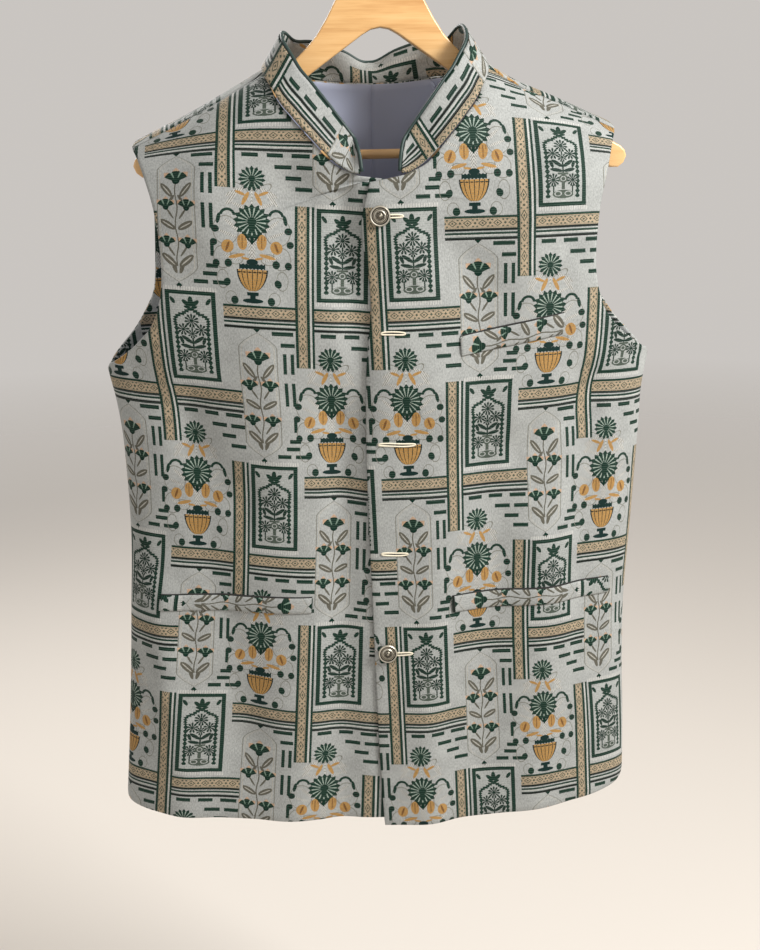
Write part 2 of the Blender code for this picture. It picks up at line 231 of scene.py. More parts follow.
def place(side, out, z, face):
    """Theta and sigma of the point so far from the centre line and so high."""
    if z is None:
        return math.asin(out / WIDEST), SEAM
    q = np.clip(out / level(z, side)[0], -1, 1)
    drop = np.maximum(0, ridge(q, side) - z)
    turned = ROUND * np.arccos(np.clip(1 - drop / ROUND, -1, 1))
    sigma = np.where(drop < ROUND, turned, ROUND * (math.pi / 2 - 1) + drop)
    return np.arcsin(q), sigma * face


def pair(theta, sigma):
    return np.stack(np.broadcast_arrays(np.asarray(theta, float), np.asarray(sigma, float)), -1)


def edge(side, table, face, tip=SEAM):
    """The table's edge as theta and sigma at t; its last row may be on the shoulder seam."""
    rows = []
    for t, out, z in table:
        theta, sigma = place(side, out, z, face)
        rows.append((t, float(theta), float(tip if z is None else sigma)))
    return lambda t: pair(smooth(rows, t, 1), smooth(rows, t, 2))


def side_seam(side, face, low=-843, top=-412):
    rows = ((0, low), (0.25, -630), (0.5, top))
    return lambda t: pair(SIDE, place(side, 999, smooth(rows, t), face)[1])


def then(first, at, second):
    return lambda t: np.where(np.asarray(t)[..., None] < at - 1e-9, first(t), second(t))


def line(a, b):
    a, b = np.asarray(a, float), np.asarray(b, float)
    return lambda t: a + (b - a) * np.asarray(t)[..., None]


def patch(left, right, low, high):
    """A Coons patch between four edges, in theta and sigma."""
    corners = [f(np.array(t, float)) for t in (0.0, 1.0) for f in (left, right)]

    def at(u, t):
        u, t = np.meshgrid(u, t, indexing="ij")
        across, up = u[..., None], t[..., None]
        ruled = left(t) * (1 - across) + right(t) * across + low(u) * (1 - up) + high(u) * up
        flat = (corners[0] * (1 - across) + corners[1] * across) * (1 - up)
        return ruled - flat - (corners[2] * (1 - across) + corners[3] * across) * up

    return at


def hem(side, face, near, z_near, far, z_far):
    """The bottom edge, a little lower at the centre than at the side."""

    def at(u):
        theta = near + (far - near) * u
        z = z_near + (z_far - z_near) * np.asarray(u) ** 2.2
        return pair(theta, place(side, level(z, side)[0] * np.sin(theta), z, face)[1])

    return at


def on_cloth(side, spot, off):
    theta, sigma = spot[..., 0], spot[..., 1]
    off = np.asarray(off + drape(side, theta, sigma))
    return body(side, theta, sigma) + normal(side, theta, sigma) * off[..., None]


def over_lift(side, spot):
    """The over front rides on the under one and comes down beyond it."""
    out = level(-500, side)[0] * np.sin(spot[..., 0])
    return LAP_LIFT * (1 - step(out, 25, 75))


def along_cloth(side, spot, face):
    """Millimetres across the cloth from its centre line, and up it from the ridge, over its curves."""
    angles = np.linspace(0, math.pi / 2, 181)
    ways = np.stack([CHEST[0] * np.sin(angles), CHEST[1] * np.cos(angles) ** FULLNESS], -1)
    lengths = np.concatenate([[0], np.cumsum(np.linalg.norm(np.diff(ways, axis=0), axis=1))])
    theta, sigma = spot[..., 0], spot[..., 1]
    across = np.copysign(np.interp(np.abs(theta), angles, lengths), theta) * side
    return across, ridge(np.sin(theta), side) + ROUND * (math.pi / 2 - 1) - face * sigma


def rgb(red, green, blue):
    """A screen colour in linear light."""
    shares = (value / 255 for value in (red, green, blue))
    return tuple(v / 12.92 if v < 0.0405 else ((v + 0.055) / 1.055) ** 2.4 for v in shares)


class Graph:
    """Adds nodes to one tree. A value is a number, a tuple or another node's output."""

    def __init__(self, tree):
        self.tree = tree

    def add(self, kind, values=(), **settings):
        node = self.tree.nodes.new(kind)
        for name, value in settings.items():
            setattr(node, name, value)
        for key, value in values.items() if isinstance(values, dict) else enumerate(values):
            socket = node.inputs[key]
            if isinstance(value, bpy.types.NodeSocket):
                self.tree.links.new(value, socket)
            elif value is not None:
                socket.default_value = value
        return node

    def math(self, operation, *values, clamp=False):
        return self.add("ShaderNodeMath", values, operation=operation, use_clamp=clamp).outputs[0]

    def vector(self, operation, *values):
        node = self.add("ShaderNodeVectorMath", operation=operation)
        sockets = [s for s in node.inputs if s.enabled]
        for socket, value in zip(sockets, values):
            if isinstance(value, bpy.types.NodeSocket):
                self.tree.links.new(value, socket)
            else:
                socket.default_value = value
        scalar = operation in ("LENGTH", "DISTANCE", "DOT_PRODUCT")
        return node.outputs["Value" if scalar else "Vector"]

    def parts(self, spot):
        return self.add("ShaderNodeSeparateXYZ", [spot]).outputs

    def join(self, x, y, z=0.0):
        return self.add("ShaderNodeCombineXYZ", [x, y, z]).outputs[0]

    def local(self, spot, at, size):
        """The spot as seen from `at`, in units of `size`."""
        scale = (1 / size[0], 1 / size[1], 0)
        return self.vector("MULTIPLY_ADD", spot, scale, (-at[0] * scale[0], -at[1] * scale[1], 0))

    def reach(self, spot, at, size, turn=0.0):
        """How far the spot is from the middle of an ellipse turned by degrees, 1 on its edge."""
        if not turn:
            return self.vector("LENGTH", self.local(spot, at, size))
        c, s = math.cos(math.radians(turn)), math.sin(math.radians(turn))
        ways = (c / size[0], s / size[0], 0), (-s / size[1], c / size[1], 0)
        seen = self.join(*(self.vector("DOT_PRODUCT", spot, way) for way in ways))
        return self.vector("DISTANCE", seen, (*(at[0] * way[0] + at[1] * way[1] for way in ways), 0))

    def near(self, value, middle, half):
        return self.math("COMPARE", value, middle, half)

    def box(self, x, y, at, half):
        return self.math("MULTIPLY", self.near(x, at[0], half[0]), self.near(y, at[1], half[1]))

    def blob(self, spot, at, size, turn=0.0):
        return self.math("LESS_THAN", self.reach(spot, at, size, turn), 1.0)

    def loop(self, spot, at, size, width, turn=0.0):
        """The outline of an ellipse, `width` of its radius wide."""
        return self.near(self.reach(spot, at, size, turn), 1.0 - width / 2, width / 2)

    def flower(self, spot, at, radius, petals, deep):
        """The mask of a round flower with pointed petals, and of the thin lines between them."""
        seen = self.local(spot, at, (radius, radius))
        reach = self.vector("LENGTH", seen)
        x, y, _ = self.parts(seen)
        angle = self.math("MULTIPLY", self.math("ARCTAN2", x, y), petals / math.pi)
        wave = self.math("PINGPONG", angle, 1.0)
        edge = self.math("MULTIPLY_ADD", wave, -deep, 1.0)
        whole = self.math("LESS_THAN", reach, edge)
        line = self.math("MULTIPLY", self.math("GREATER_THAN", wave, 0.7), self.near(reach, 0.5, 0.26))
        return whole, line

    def any(self, *masks):
        result = masks[0]
        for mask in masks[1:]:
            result = self.math("MAXIMUM", result, mask)
        return result

    def both(self, a, b):
        return self.math("MULTIPLY", a, b)

    def ramp(self, value, stops, hard=True):
        node = self.add("ShaderNodeValToRGB", [value])
        node.color_ramp.interpolation = "CONSTANT" if hard else "LINEAR"
        elements = node.color_ramp.elements
        while len(elements) < len(stops):
            elements.new(1.0)
        for element, (place, colour) in zip(elements, stops):
            element.position = place
            element.color = (*colour, 1) if hasattr(colour, "__len__") else (colour, colour, colour, 1)
        return node.outputs[0]

    def spans(self, value, pairs):
        """1 where the value is inside one of the pairs."""
        return self.any(*(self.near(value, (low + high) / 2, (high - low) / 2) for low, high in pairs))

    def mix(self, under, over, mask):
        node = self.add("ShaderNodeMix", data_type="RGBA")
        for key, value in ((0, mask), (6, under), (7, over)):
            if isinstance(value, bpy.types.NodeSocket):
                self.tree.links.new(value, node.inputs[key])
            else:
                node.inputs[key].default_value = value if key == 0 else (*value[:3], 1)
        return node.outputs[2]

    def noise(self, spot, scale, detail=2.0, rough=0.5):
        values = {"Vector": spot, "Scale": scale, "Detail": detail, "Roughness": rough}
        return self.add("ShaderNodeTexNoise", values).outputs[0]


def new_group(name, inputs, outputs):
    """A node group with named sockets, its graph, its inputs and the node to link outputs to."""
    tree = bpy.data.node_groups.new(name, "ShaderNodeTree")
    for sockets, way in ((inputs, "INPUT"), (outputs, "OUTPUT")):
        for title, kind in sockets:
            tree.interface.new_socket(title, in_out=way, socket_type="NodeSocket" + kind)
    graph = Graph(tree)
    return tree, graph, graph.add("NodeGroupInput").outputs, graph.add("NodeGroupOutput").inputs


def new_material(name, colour=(0.8, 0.8, 0.8), **settings):
    material = bpy.data.materials.new(name)
    material.use_nodes = True
    shader = material.node_tree.nodes["Principled BSDF"]
    shader.inputs["Base Color"].default_value = (*colour, 1)
    for key, value in settings.items():
        shader.inputs[key.replace("_", " ").title()].default_value = value
    return material, Graph(material.node_tree), shader.inputs


# the repeat: one of each motif at steps of (1, -2) and (2, 1) units from a crossing of two bands
UNIT = (63.6, 76.6)
# the middle of a framed panel, from that crossing
PANEL = (31.5, 56)
SILVER = rgb(197, 200, 197)
GREEN = rgb(0, 48, 34)
DARK = rgb(16, 22, 19)
PEACH = rgb(206, 184, 154)
GOLD = rgb(206, 158, 90)
GREY = rgb(138, 136, 124)
PALE = rgb(146, 146, 136)
WHITE = rgb(226, 226, 221)
TEAL = rgb(8, 48, 44)


def fold(g, spot, at):
    """The spot as seen from the nearest motif of its kind, whose first one is at `at`."""
    ux, uy = UNIT
    # in units the two steps are at right angles, and each one's square is 5
    near = g.vector("SUBTRACT", spot, (*at, 0))
    turns = []
    for along in ((1, -2), (2, 1)):
        share = g.vector("DOT_PRODUCT", near, (along[0] / ux / 5, along[1] / uy / 5, 0))
        turns.append(g.math("ROUND", share))
    near = g.vector("MULTIPLY_ADD", turns[0], (-ux, 2 * uy, 0), near)
    return g.vector("MULTIPLY_ADD", turns[1], (-2 * ux, -uy, 0), near)


def diamonds(g, along, across, step, half):
    """A row of outlined diamonds with a dot in each, and small dots between."""
    run = g.math("PINGPONG", along, step / 2)
    side = g.math("ABSOLUTE", across)
    shape = g.math("MULTIPLY_ADD", run, 1 / (step * 0.3), g.math("MULTIPLY", side, 1 / half))
    ring = g.near(shape, 0.86, 0.15)
    dot = g.math("LESS_THAN", shape, 0.32)
    far = g.math("SUBTRACT", step / 2, run)
    between = g.math("LESS_THAN", g.math("ADD", far, side), 1.3)
    corner = g.both(g.near(run, step * 0.36, 0.8), g.near(side, half * 0.9, 0.6))
    return g.any(ring, dot, between, corner)


def upright_band(g, spot, colour):
    near = fold(g, spot, (0, 27))
    x, y, _ = g.parts(near)
    here = g.box(x, y, (0, 0), (8.0, 70))
    profile = (
        (0.0, GREEN),
        (0.15, PEACH),
        (0.17, GREY),
        (0.195, PEACH),
        (0.55, GREY),
        (0.575, PEACH),
        (0.6, GREEN),
        (0.76, WHITE),
        (0.87, GREEN),
    )
    band = g.ramp(g.math("MULTIPLY_ADD", x, 1 / 16, 0.5), profile)
    marks = diamonds(g, y, g.math("ADD", x, 2.1), 17.5, 2.7)
    band = g.mix(band, rgb(88, 92, 76), g.both(marks, g.near(x, -2.1, 3.2)))
    return g.mix(colour, band, here), here


def level_band(g, spot, colour):
    near = fold(g, spot, (1, 0))
    x, y, _ = g.parts(near)
    here = g.box(x, y, (0, 0), (69, 10.3))
    profile = (
        (0.0, DARK),
        (0.12, SILVER),
        (0.17, WHITE),
        (0.22, GREEN),
        (0.31, SILVER),
        (0.37, DARK),
        (0.48, PEACH),
        (0.51, GREY),
        (0.53, PEACH),
        (0.85, GREY),
        (0.87, PEACH),
        (0.9, GREEN),
    )
    band = g.ramp(g.math("MULTIPLY_ADD", y, 1 / 20.6, 0.5), profile)
    marks = diamonds(g, x, g.math("SUBTRACT", y, 4.1), 12.5, 3.0)
    band = g.mix(band, rgb(88, 92, 76), g.both(marks, g.near(y, 4.1, 3.6)))
    return g.mix(colour, band, here), here


def arch_panel(g, spot, colour):
    """A framed panel with a foliate arch over a bouquet in a pot."""
    near = fold(g, spot, PANEL)
    x, y, _ = g.parts(near)
    side = g.math("ABSOLUTE", x)
    m = g.join(side, y)
    frame_outer = g.box(x, y, (0, 0), (21.5, 40))
    frame_inner = g.box(x, y, (0, 0), (17.7, 36.6))
    halo = g.both(g.near(side, 0, 22.5), g.near(g.math("ABSOLUTE", y), 41.8, 1.8))
    teeth = g.math("LESS_THAN", g.math("PINGPONG", x, 1.1), 0.6)
    colour = g.mix(colour, WHITE, g.both(halo, teeth))
    colour = g.mix(colour, GREEN, frame_outer)
    colour = g.mix(colour, SILVER, frame_inner)
    # the arch: a rounded head on straight sides, its leaves swelling along it
    head = g.math("MAXIMUM", g.math("SUBTRACT", y, 8.0), 0.0)
    reach = g.vector("LENGTH", g.join(side, head))
    angle = g.math("ARCTAN2", head, side)
    cusps = g.math("PINGPONG", g.math("MULTIPLY", angle, 1.91), 1.0)
    swell = g.math("PINGPONG", g.math("ADD", g.math("MULTIPLY", angle, 13.5), y), 2.1)
    thick = g.math("MULTIPLY_ADD", swell, 0.75, 0.7)
    arch = g.math("COMPARE", g.math("MULTIPLY_ADD", cusps, -2.4, reach), 13.4, thick)
    arch = g.both(arch, g.math("GREATER_THAN", y, -33.0))
    crown = g.any(
        g.blob(m, (0, 30.5), (2.2, 4.6)),
        g.blob(m, (3.8, 29.0), (1.9, 4.2), -50),
        g.blob(m, (2.8, 25.4), (1.2, 3.0), -75),
        g.blob(m, (15.2, 31.0), (1.6, 3.4), -35),
    )
    # the bouquet and its pot
    heads = [
        g.flower(m, (0, 13.5), 6.6, 11, 0.3),
        g.flower(m, (7.6, 5.6), 5.6, 9, 0.32),
        g.flower(m, (0, 2.0), 4.6, 9, 0.35),
        g.flower(m, (8.6, -18), 6.0, 11, 0.28),
    ]
    leaves = g.any(
        g.blob(m, (4.8, -3.4), (5.6, 1.7), 35),
        g.blob(m, (9.6, -4.0), (3.6, 1.5), 70),
        g.blob(m, (5.6, -9.4), (5.4, 1.6), 12),
        g.box(side, y, (0, -4), (0.7, 12)),
        g.box(side, y, (8.6, -26), (0.6, 4)),
    )
    pot = g.any(
        g.blob(m, (0, -17.0), (4.0, 3.6)),
        g.box(side, y, (0, -12.6), (4.8, 0.9)),
        g.box(side, y, (0, -23), (1.5, 3.0)),
        g.blob(m, (0, -30), (9.6, 3.6)),
    )
    scroll = g.any(g.loop(m, (4.6, -29.5), (3.4, 2.2), 0.3), g.loop(m, (0, -17.0), (2.5, 2.2), 0.3))
    colour = g.mix(colour, GREEN, g.any(arch, crown))
    colour = g.mix(colour, rgb(14, 44, 34), g.any(leaves, *(whole for whole, _ in heads)))
    colour = g.mix(colour, rgb(84, 94, 84), pot)
    colour = g.mix(colour, SILVER, g.any(scroll, *(line for _, line in heads)))
    return colour, frame_outer


def vase_bouquet(g, spot, colour):
    """A great flower over gold bulbs in a footed, fluted vase, with sprays of small leaves."""
    near = fold(g, spot, (21, -81))
    x, y, _ = g.parts(near)
    y = g.math("SUBTRACT", y, 10.0)
    side = g.math("ABSOLUTE", x)
    m = g.join(side, y)
    sprays = g.any(
        g.loop(m, (21, -8), (10.5, 12.5), 0.06),
        g.loop(m, (24, -31), (7.5, 10.0), 0.08),
        g.loop(m, (24.5, -50), (5.0, 8.5), 0.1),
        g.loop(m, (13.5, -32), (6.5, 5.0), 0.12),
        g.loop(m, (18, -66), (5.0, 6.0), 0.1),
        g.loop(m, (9, 27), (8.5, 3.6), 0.14, 38),
    )
    feathers = g.any(
        g.blob(m, (13.5, 24.5), (8.0, 2.0), -28),
        g.blob(m, (16.5, 18.5), (6.5, 1.8), -52),
        g.blob(m, (11.0, 13.5), (6.0, 1.3), 20),
        g.blob(m, (15.5, -4.0), (8.5, 1.5), 42),
        g.blob(m, (19.5, -11.0), (7.5, 1.3), 22),
        g.blob(m, (6.0, -13.0), (8.0, 1.2), 62),
        g.blob(m, (17.0, -31.0), (7.5, 1.2), 20),
        g.box(side, y, (0, 23), (0.7, 10)),
        g.box(side, y, (0, -24), (2.6, 10)),
    )
    slant = g.math("ADD", side, g.math("MULTIPLY", y, 0.6))
    barbs = g.math("LESS_THAN", g.math("PINGPONG", slant, 0.9), 0.28)
    colour = g.mix(colour, PALE, sprays)
    colour = g.mix(colour, WHITE, feathers)
    colour = g.mix(colour, GREY, g.both(feathers, barbs))
    droop = g.both(g.loop(m, (19.5, 4.5), (6.5, 6.5), 0.36), g.math("GREATER_THAN", y, 5.0))
    leaves = g.any(
        droop,
        g.blob(m, (26.8, 2.0), (1.6, 4.6), 12),
        g.blob(m, (29.5, -7), (3.2, 3.0)),
        g.blob(m, (31, -18.5), (3.0, 3.0)),
        g.blob(m, (19.5, -36), (3.1, 3.5)),
        g.blob(m, (29.5, -36.5), (2.9, 3.3)),
        g.blob(m, (21, -52.5), (2.9, 3.6), 20),
        g.blob(m, (15.2, -68), (3.1, 3.6)),
    )
    great, great_lines = g.flower(m, (0, 0), 15.2, 17, 0.2)
    small, small_lines = g.flower(m, (0, 36.5), 11.2, 15, 0.24)
    calyx = g.any(g.blob(m, (0, -6), (2.6, 3.4)), g.blob(m, (0, 31.5), (2.0, 2.6)))
    stalk = g.any(g.blob(m, (0, -14), (1.5, 5.5)), g.blob(m, (3.6, -14), (4.6, 0.9), 55))
    knob = g.blob(m, (0, -34.5), (4.7, 2.8))
    colour = g.mix(colour, GREEN, g.any(leaves, great, small, stalk))
    colour = g.mix(colour, rgb(186, 202, 190), g.any(great_lines, small_lines))
    colour = g.mix(colour, GREEN, calyx)
    hearts = [g.blob(m, at, (1.0, 1.2)) for at in ((29.5, -7), (31, -18.5), (19.5, -36), (29.5, -36.5))]
    colour = g.mix(colour, DARK, g.any(*hearts))
    bulbs = g.any(
        g.blob(m, (7.9, -17.5), (4.0, 6.8), -6),
        g.blob(m, (19.8, -21.5), (5.0, 5.6), 8),
        g.blob(m, (5.2, 19.5), (6.2, 1.7), 116),
        g.blob(m, (9.4, 24.0), (4.2, 1.3), 22),
        g.blob(m, (12.5, -29.5), (6.8, 1.6), -14),
        g.blob(m, (5.6, -31.5), (3.4, 1.0), 8),
    )
    pips = g.any(g.box(side, y, (7.9, -17.5), (0.4, 5.2)), g.blob(m, (19.8, -21.5), (1.0, 4.4), 20))
    notches = g.both(g.near(y, -14, 1.8), g.math("LESS_THAN", g.math("PINGPONG", side, 1.3), 0.3))
    colour = g.mix(colour, GOLD, bulbs)
    colour = g.mix(colour, rgb(140, 92, 44), g.any(pips, g.both(bulbs, notches)))
    # the vase: a scalloped rim, a fluted bowl and a foot
    wave = g.math("PINGPONG", x, 1.5)
    rim = g.both(g.near(side, 0, 10.6), g.near(y, -38.4, g.math("MULTIPLY_ADD", wave, 0.8, 1.5)))
    deep = g.math("MULTIPLY", g.math("ADD", y, 41.0), -1 / 18.5, clamp=True)
    wide = g.math("MULTIPLY", g.math("SQRT", g.math("SUBTRACT", 1.04, g.math("POWER", deep, 1.8))), 12.6)
    bowl = g.both(g.math("LESS_THAN", side, wide), g.near(y, -50.2, 9.3))
    share = g.math("DIVIDE", side, wide)
    flute = g.math("PINGPONG", g.math("MULTIPLY", share, 3.0), 0.5)
    petal = g.near(y, -43.2, g.math("MULTIPLY", flute, 1.4))
    ribs = g.any(g.math("LESS_THAN", flute, 0.085), g.math("GREATER_THAN", share, 0.9), petal)
    foot = g.any(
        g.blob(m, (0, -68), (8.6, 2.1)),
        g.box(side, y, (0, -62), (4.8, 1.5)),
        g.box(side, y, (0, -65), (2.3, 2.2)),
    )
    colour = g.mix(colour, TEAL, g.any(rim, knob, foot))
    colour = g.mix(colour, GOLD, bowl)
    colour = g.mix(colour, DARK, g.both(bowl, ribs))
    return colour, g.any(great, small, bulbs, bowl, leaves)


def cartouche(g, spot, colour):
    """A long pointed frame round a stem with fan flowers and paired grey leaves."""
    near = fold(g, spot, (-40.5, -70))
    x, y, _ = g.parts(near)
    side = g.math("ABSOLUTE", x)
    m = g.join(side, y)
    height = g.math("ABSOLUTE", y)
    taper = g.math("MULTIPLY", g.math("SUBTRACT", height, 43.0), 1 / 13.5, clamp=True)
    wide = g.math("MULTIPLY", g.math("SUBTRACT", 1.0, g.math("POWER", taper, 1.5)), 16.2)
    inside = g.math("LESS_THAN", height, 56.5)
    edge = g.both(g.near(side, wide, 0.42), inside)
    second = g.both(g.near(g.math("ADD", side, 2.2), wide, 0.4), inside)
    bend = g.math("MULTIPLY", g.math("SINE", g.math("MULTIPLY", y, 0.21)), 1.0)
    stem = g.both(g.near(x, bend, 0.55), g.near(y, 0, 43))
    leaves = g.any(
        g.blob(m, (8.4, 23), (8.0, 2.6), 52),
        g.blob(m, (7.6, -7.5), (7.4, 2.7), 30),
        g.blob(m, (7.2, -38), (8.0, 3.0), 42),
        g.blob(m, (3.2, -44), (5.6, 1.8), 72),
        g.blob(m, (5.4, 2.0), (5.4, 0.9), 56),
        g.blob(m, (5.4, -30), (5.4, 0.9), 56),
        g.blob(m, (4.2, 14.5), (4.6, 1.3), 125),
    )
    veins = g.any(
        g.blob(m, (8.4, 23), (6.0, 0.5), 52),
        g.blob(m, (7.6, -7.5), (5.4, 0.5), 30),
        g.blob(m, (7.2, -38), (6.0, 0.6), 42),
    )
    colour = g.mix(colour, PALE, edge)
    colour = g.mix(colour, rgb(112, 110, 98), g.any(stem, leaves))
    colour = g.mix(colour, rgb(206, 204, 194), g.any(second, veins))
    fans = (((0, 30.0), 14.2), ((9.0, 6.5), 10.6), ((9.0, -25.5), 10.6))
    green, tips, lines = [], [], []
    for at, size in fans:
        seen = g.local(m, at, (size, size))
        reach = g.vector("LENGTH", seen)
        u, v, _ = g.parts(seen)
        angle = g.math("ARCTAN2", u, v)
        wave = g.math("PINGPONG", g.math("MULTIPLY", angle, 2.4), 1.0)
        spread = g.near(angle, 0, 1.12)
        petal = g.math("LESS_THAN", reach, g.math("MULTIPLY_ADD", wave, -0.32, 1.0))
        fan = g.both(spread, petal)
        tip = g.both(fan, g.math("GREATER_THAN", reach, 0.78))
        green.append(fan)
        tips.append(tip)
        lines.append(g.both(g.both(spread, g.math("GREATER_THAN", wave, 0.8)), g.near(reach, 0.52, 0.2)))
    calyx = g.any(
        g.blob(m, (0, 31.5), (3.4, 3.4)),
        g.blob(m, (9, 7.6), (2.6, 2.8)),
        g.blob(m, (9, -24.4), (2.6, 2.8)),
    )
    beyond = g.math("ABSOLUTE", g.math("SUBTRACT", height, 59.5))
    points = g.math("LESS_THAN", g.math("ADD", side, beyond), 2.8)
    colour = g.mix(colour, GREEN, g.any(points, calyx, *green))
    colour = g.mix(colour, rgb(226, 190, 160), g.any(*tips))
    colour = g.mix(colour, rgb(150, 178, 160), g.any(*lines))
    return colour, g.any(*green)


def dashes(g, spot, colour):
    """Short green bars: upright pairs beside the cartouche, level ones under the band and by the vase."""
    near = fold(g, spot, (10, -62))
    x, y, _ = g.parts(near)
    x = g.math("ADD", x, 10.0)
    y = g.math("SUBTRACT", y, 62.0)
    column = g.near(g.math("ABSOLUTE", g.math("ADD", x, 14.6)), 3.2, 1.5)
    upright = g.both(column, g.spans(y, ((-102, -90), (-78, -57), (-49, -31))))
    one = g.both(g.near(x, -14.6, 5), g.math("LESS_THAN", y, -84))
    upright = g.math("SUBTRACT", upright, g.both(one, g.math("LESS_THAN", x, -14.6)), clamp=True)
    masks = [upright]
    # each row: height, then the spans of its bars
    for row, pairs in (
        (-13.5, ((-28, -10), (13, 26), (33, 46), (53, 68))),
        (-23.5, ((-21, -9), (39, 53), (57, 70))),
        (-33.0, ((48, 61),)),
        (-42.0, ((56, 70),)),
        (-110.5, ((-17, -7),)),
        (-117.5, ((-20, -8),)),
        (-124.8, ((-28, -16), (-12, 0))),
    ):
        masks.append(g.both(g.near(y, row, 1.8), g.spans(x, pairs)))
    whole = g.any(*masks)
    return g.mix(colour, GREEN, whole), whole


def brocade_group():
    tree, g, given, result = new_group(
        "brocade", [("Spot", "Vector")], [("Color", "Color"), ("Thread", "Float"), ("Weave", "Float")]
    )
    # given in millimetres along the cloth; a little unevenness frays the edges as floats of thread do
    rough = g.math("SUBTRACT", g.noise(given[0], 1.9, 1.0), 0.5)
    spot = g.vector("MULTIPLY_ADD", g.join(rough, rough), (0.9, 0.8, 0), given[0])
    colour = SILVER
    threads = []
    for draw in (dashes, cartouche, vase_bouquet, arch_panel, level_band, upright_band):
        colour, raised = draw(g, spot, colour)
        threads.append(raised)
    thread = g.any(*threads)
    # the weave: fine ribs, and a mottle as the warp shows through
    x, y, _ = g.parts(given[0])
    ticks = g.both(thread, g.math("LESS_THAN", g.math("PINGPONG", y, 1.0), 0.26))
    colour = g.mix(colour, rgb(120, 150, 134), g.math("MULTIPLY", ticks, 0.26))
    ribs = g.math("PINGPONG", y, 0.36)
    warp = g.math("PINGPONG", x, 0.3)
    weave = g.math("MULTIPLY_ADD", ribs, 1.6, g.math("MULTIPLY", warp, 0.9))
    fine = g.noise(g.vector("MULTIPLY", given[0], (0.9, 0.42, 1)), 1.0, 3.0, 0.75)
    coarse = g.noise(given[0], 0.045, 2.0, 0.5)
    shade = g.math("MULTIPLY_ADD", fine, 0.78, -0.01)
    shade = g.math("MULTIPLY_ADD", coarse, 0.24, shade)
    shade = g.math("MULTIPLY_ADD", weave, 0.14, shade)
    colour = g.add("ShaderNodeVectorMath", {"Vector": colour, "Scale": shade}, operation="SCALE").outputs[0]
    tree.links.new(colour, result[0])
    tree.links.new(thread, result[1])
    tree.links.new(weave, result[2])
    return tree


def make_brocade(figure):
    material, g, shader = new_material("brocade")
    shader["Sheen Weight"].default_value = 0.03
    shader["Specular IOR Level"].default_value = 0.16
    shader["Sheen Roughness"].default_value = 0.4
    uv = g.add("ShaderNodeUVMap", uv_map="weave").outputs[0]
    drawn = g.add("ShaderNodeGroup", [g.vector("MULTIPLY", uv, (1000, 1000, 0))], node_tree=figure)
    colour, thread, weave = drawn.outputs[:3]
    bump = g.add("ShaderNodeBump", {"Strength": 0.5, "Distance": 0.0004, "Height": weave})
    rough = g.math("MULTIPLY_ADD", thread, -0.1, 0.66)
    g.tree.links.new(colour, shader["Base Color"])
    g.tree.links.new(rough, shader["Roughness"])
    g.tree.links.new(bump.outputs[0], shader["Normal"])
    return material


def satin_tone():
    """A soft change of tone across satin, and its fine warp."""
    outputs = [("Tone", "Float"), ("Warp", "Float")]
    tree, g, given, result = new_group("satin_tone", [("Spot", "Vector")], outputs)
    broad = g.noise(given[0], 9.0, 2.0)
    warp = g.noise(g.vector("MULTIPLY", given[0], (2600, 2600, 160)), 1.0, 1.0)
    tree.links.new(g.math("MULTIPLY_ADD", broad, 0.3, 0.85), result[0])
    tree.links.new(warp, result[1])
    return tree


def make_satin(tone):
    material, g, shader = new_material("lining_satin", roughness=0.42)
    spot = g.add("ShaderNodeTexCoord").outputs["Object"]
    drawn = g.add("ShaderNodeGroup", [spot], node_tree=tone)
    toned = {"Vector": rgb(156, 162, 182), "Scale": drawn.outputs[0]}
    colour = g.add("ShaderNodeVectorMath", toned, operation="SCALE")
    bump = g.add("ShaderNodeBump", {"Strength": 0.2, "Distance": 0.0002, "Height": drawn.outputs[1]})
    g.tree.links.new(colour.outputs[0], shader["Base Color"])
    g.tree.links.new(bump.outputs[0], shader["Normal"])
    return material


BROCADE = make_brocade(brocade_group())
SATIN = make_satin(satin_tone())


def figure_at(across, up, motif, level_way=(1.0, 0.0), up_way=(0.0, 1.0)):
    """Where the cloth lies in the figure, with a framed panel's middle at `motif`, as a UV in metres."""
    way = np.linalg.inv(np.array([level_way, up_way], float).T)
    x, y = across - motif[0], up - motif[1]
    u = way[0, 0] * x + way[0, 1] * y + PANEL[0]
    v = way[1, 0] * x + way[1, 1] * y + PANEL[1]
    return np.stack([u, v], -1) * MM


def mesh_object(name, points, faces, materials, indices=None, smooth_shaded=True):
    """A closed mesh from points in millimetres, its faces turned out."""
    mesh = bpy.data.meshes.new(name)
    points = np.asarray(points, float) * MM
    mesh.from_pydata(points.tolist(), [], [list(map(int, face)) for face in faces])
    for material in materials:
        mesh.materials.append(material)
    if indices is not None:
        mesh.polygons.foreach_set("material_index", np.asarray(indices, np.int32))
    mesh.polygons.foreach_set("use_smooth", np.full(len(mesh.polygons), smooth_shaded))
    found = bpy.data.objects.new(name, mesh)
    bpy.context.collection.objects.link(found)
    return found


def signed_volume(points, faces):
    a, b, c, d = (points[faces[:, k]] for k in range(4))
    return float(np.sum(a * np.cross(b, c)) + np.sum(a * np.cross(c, d)))


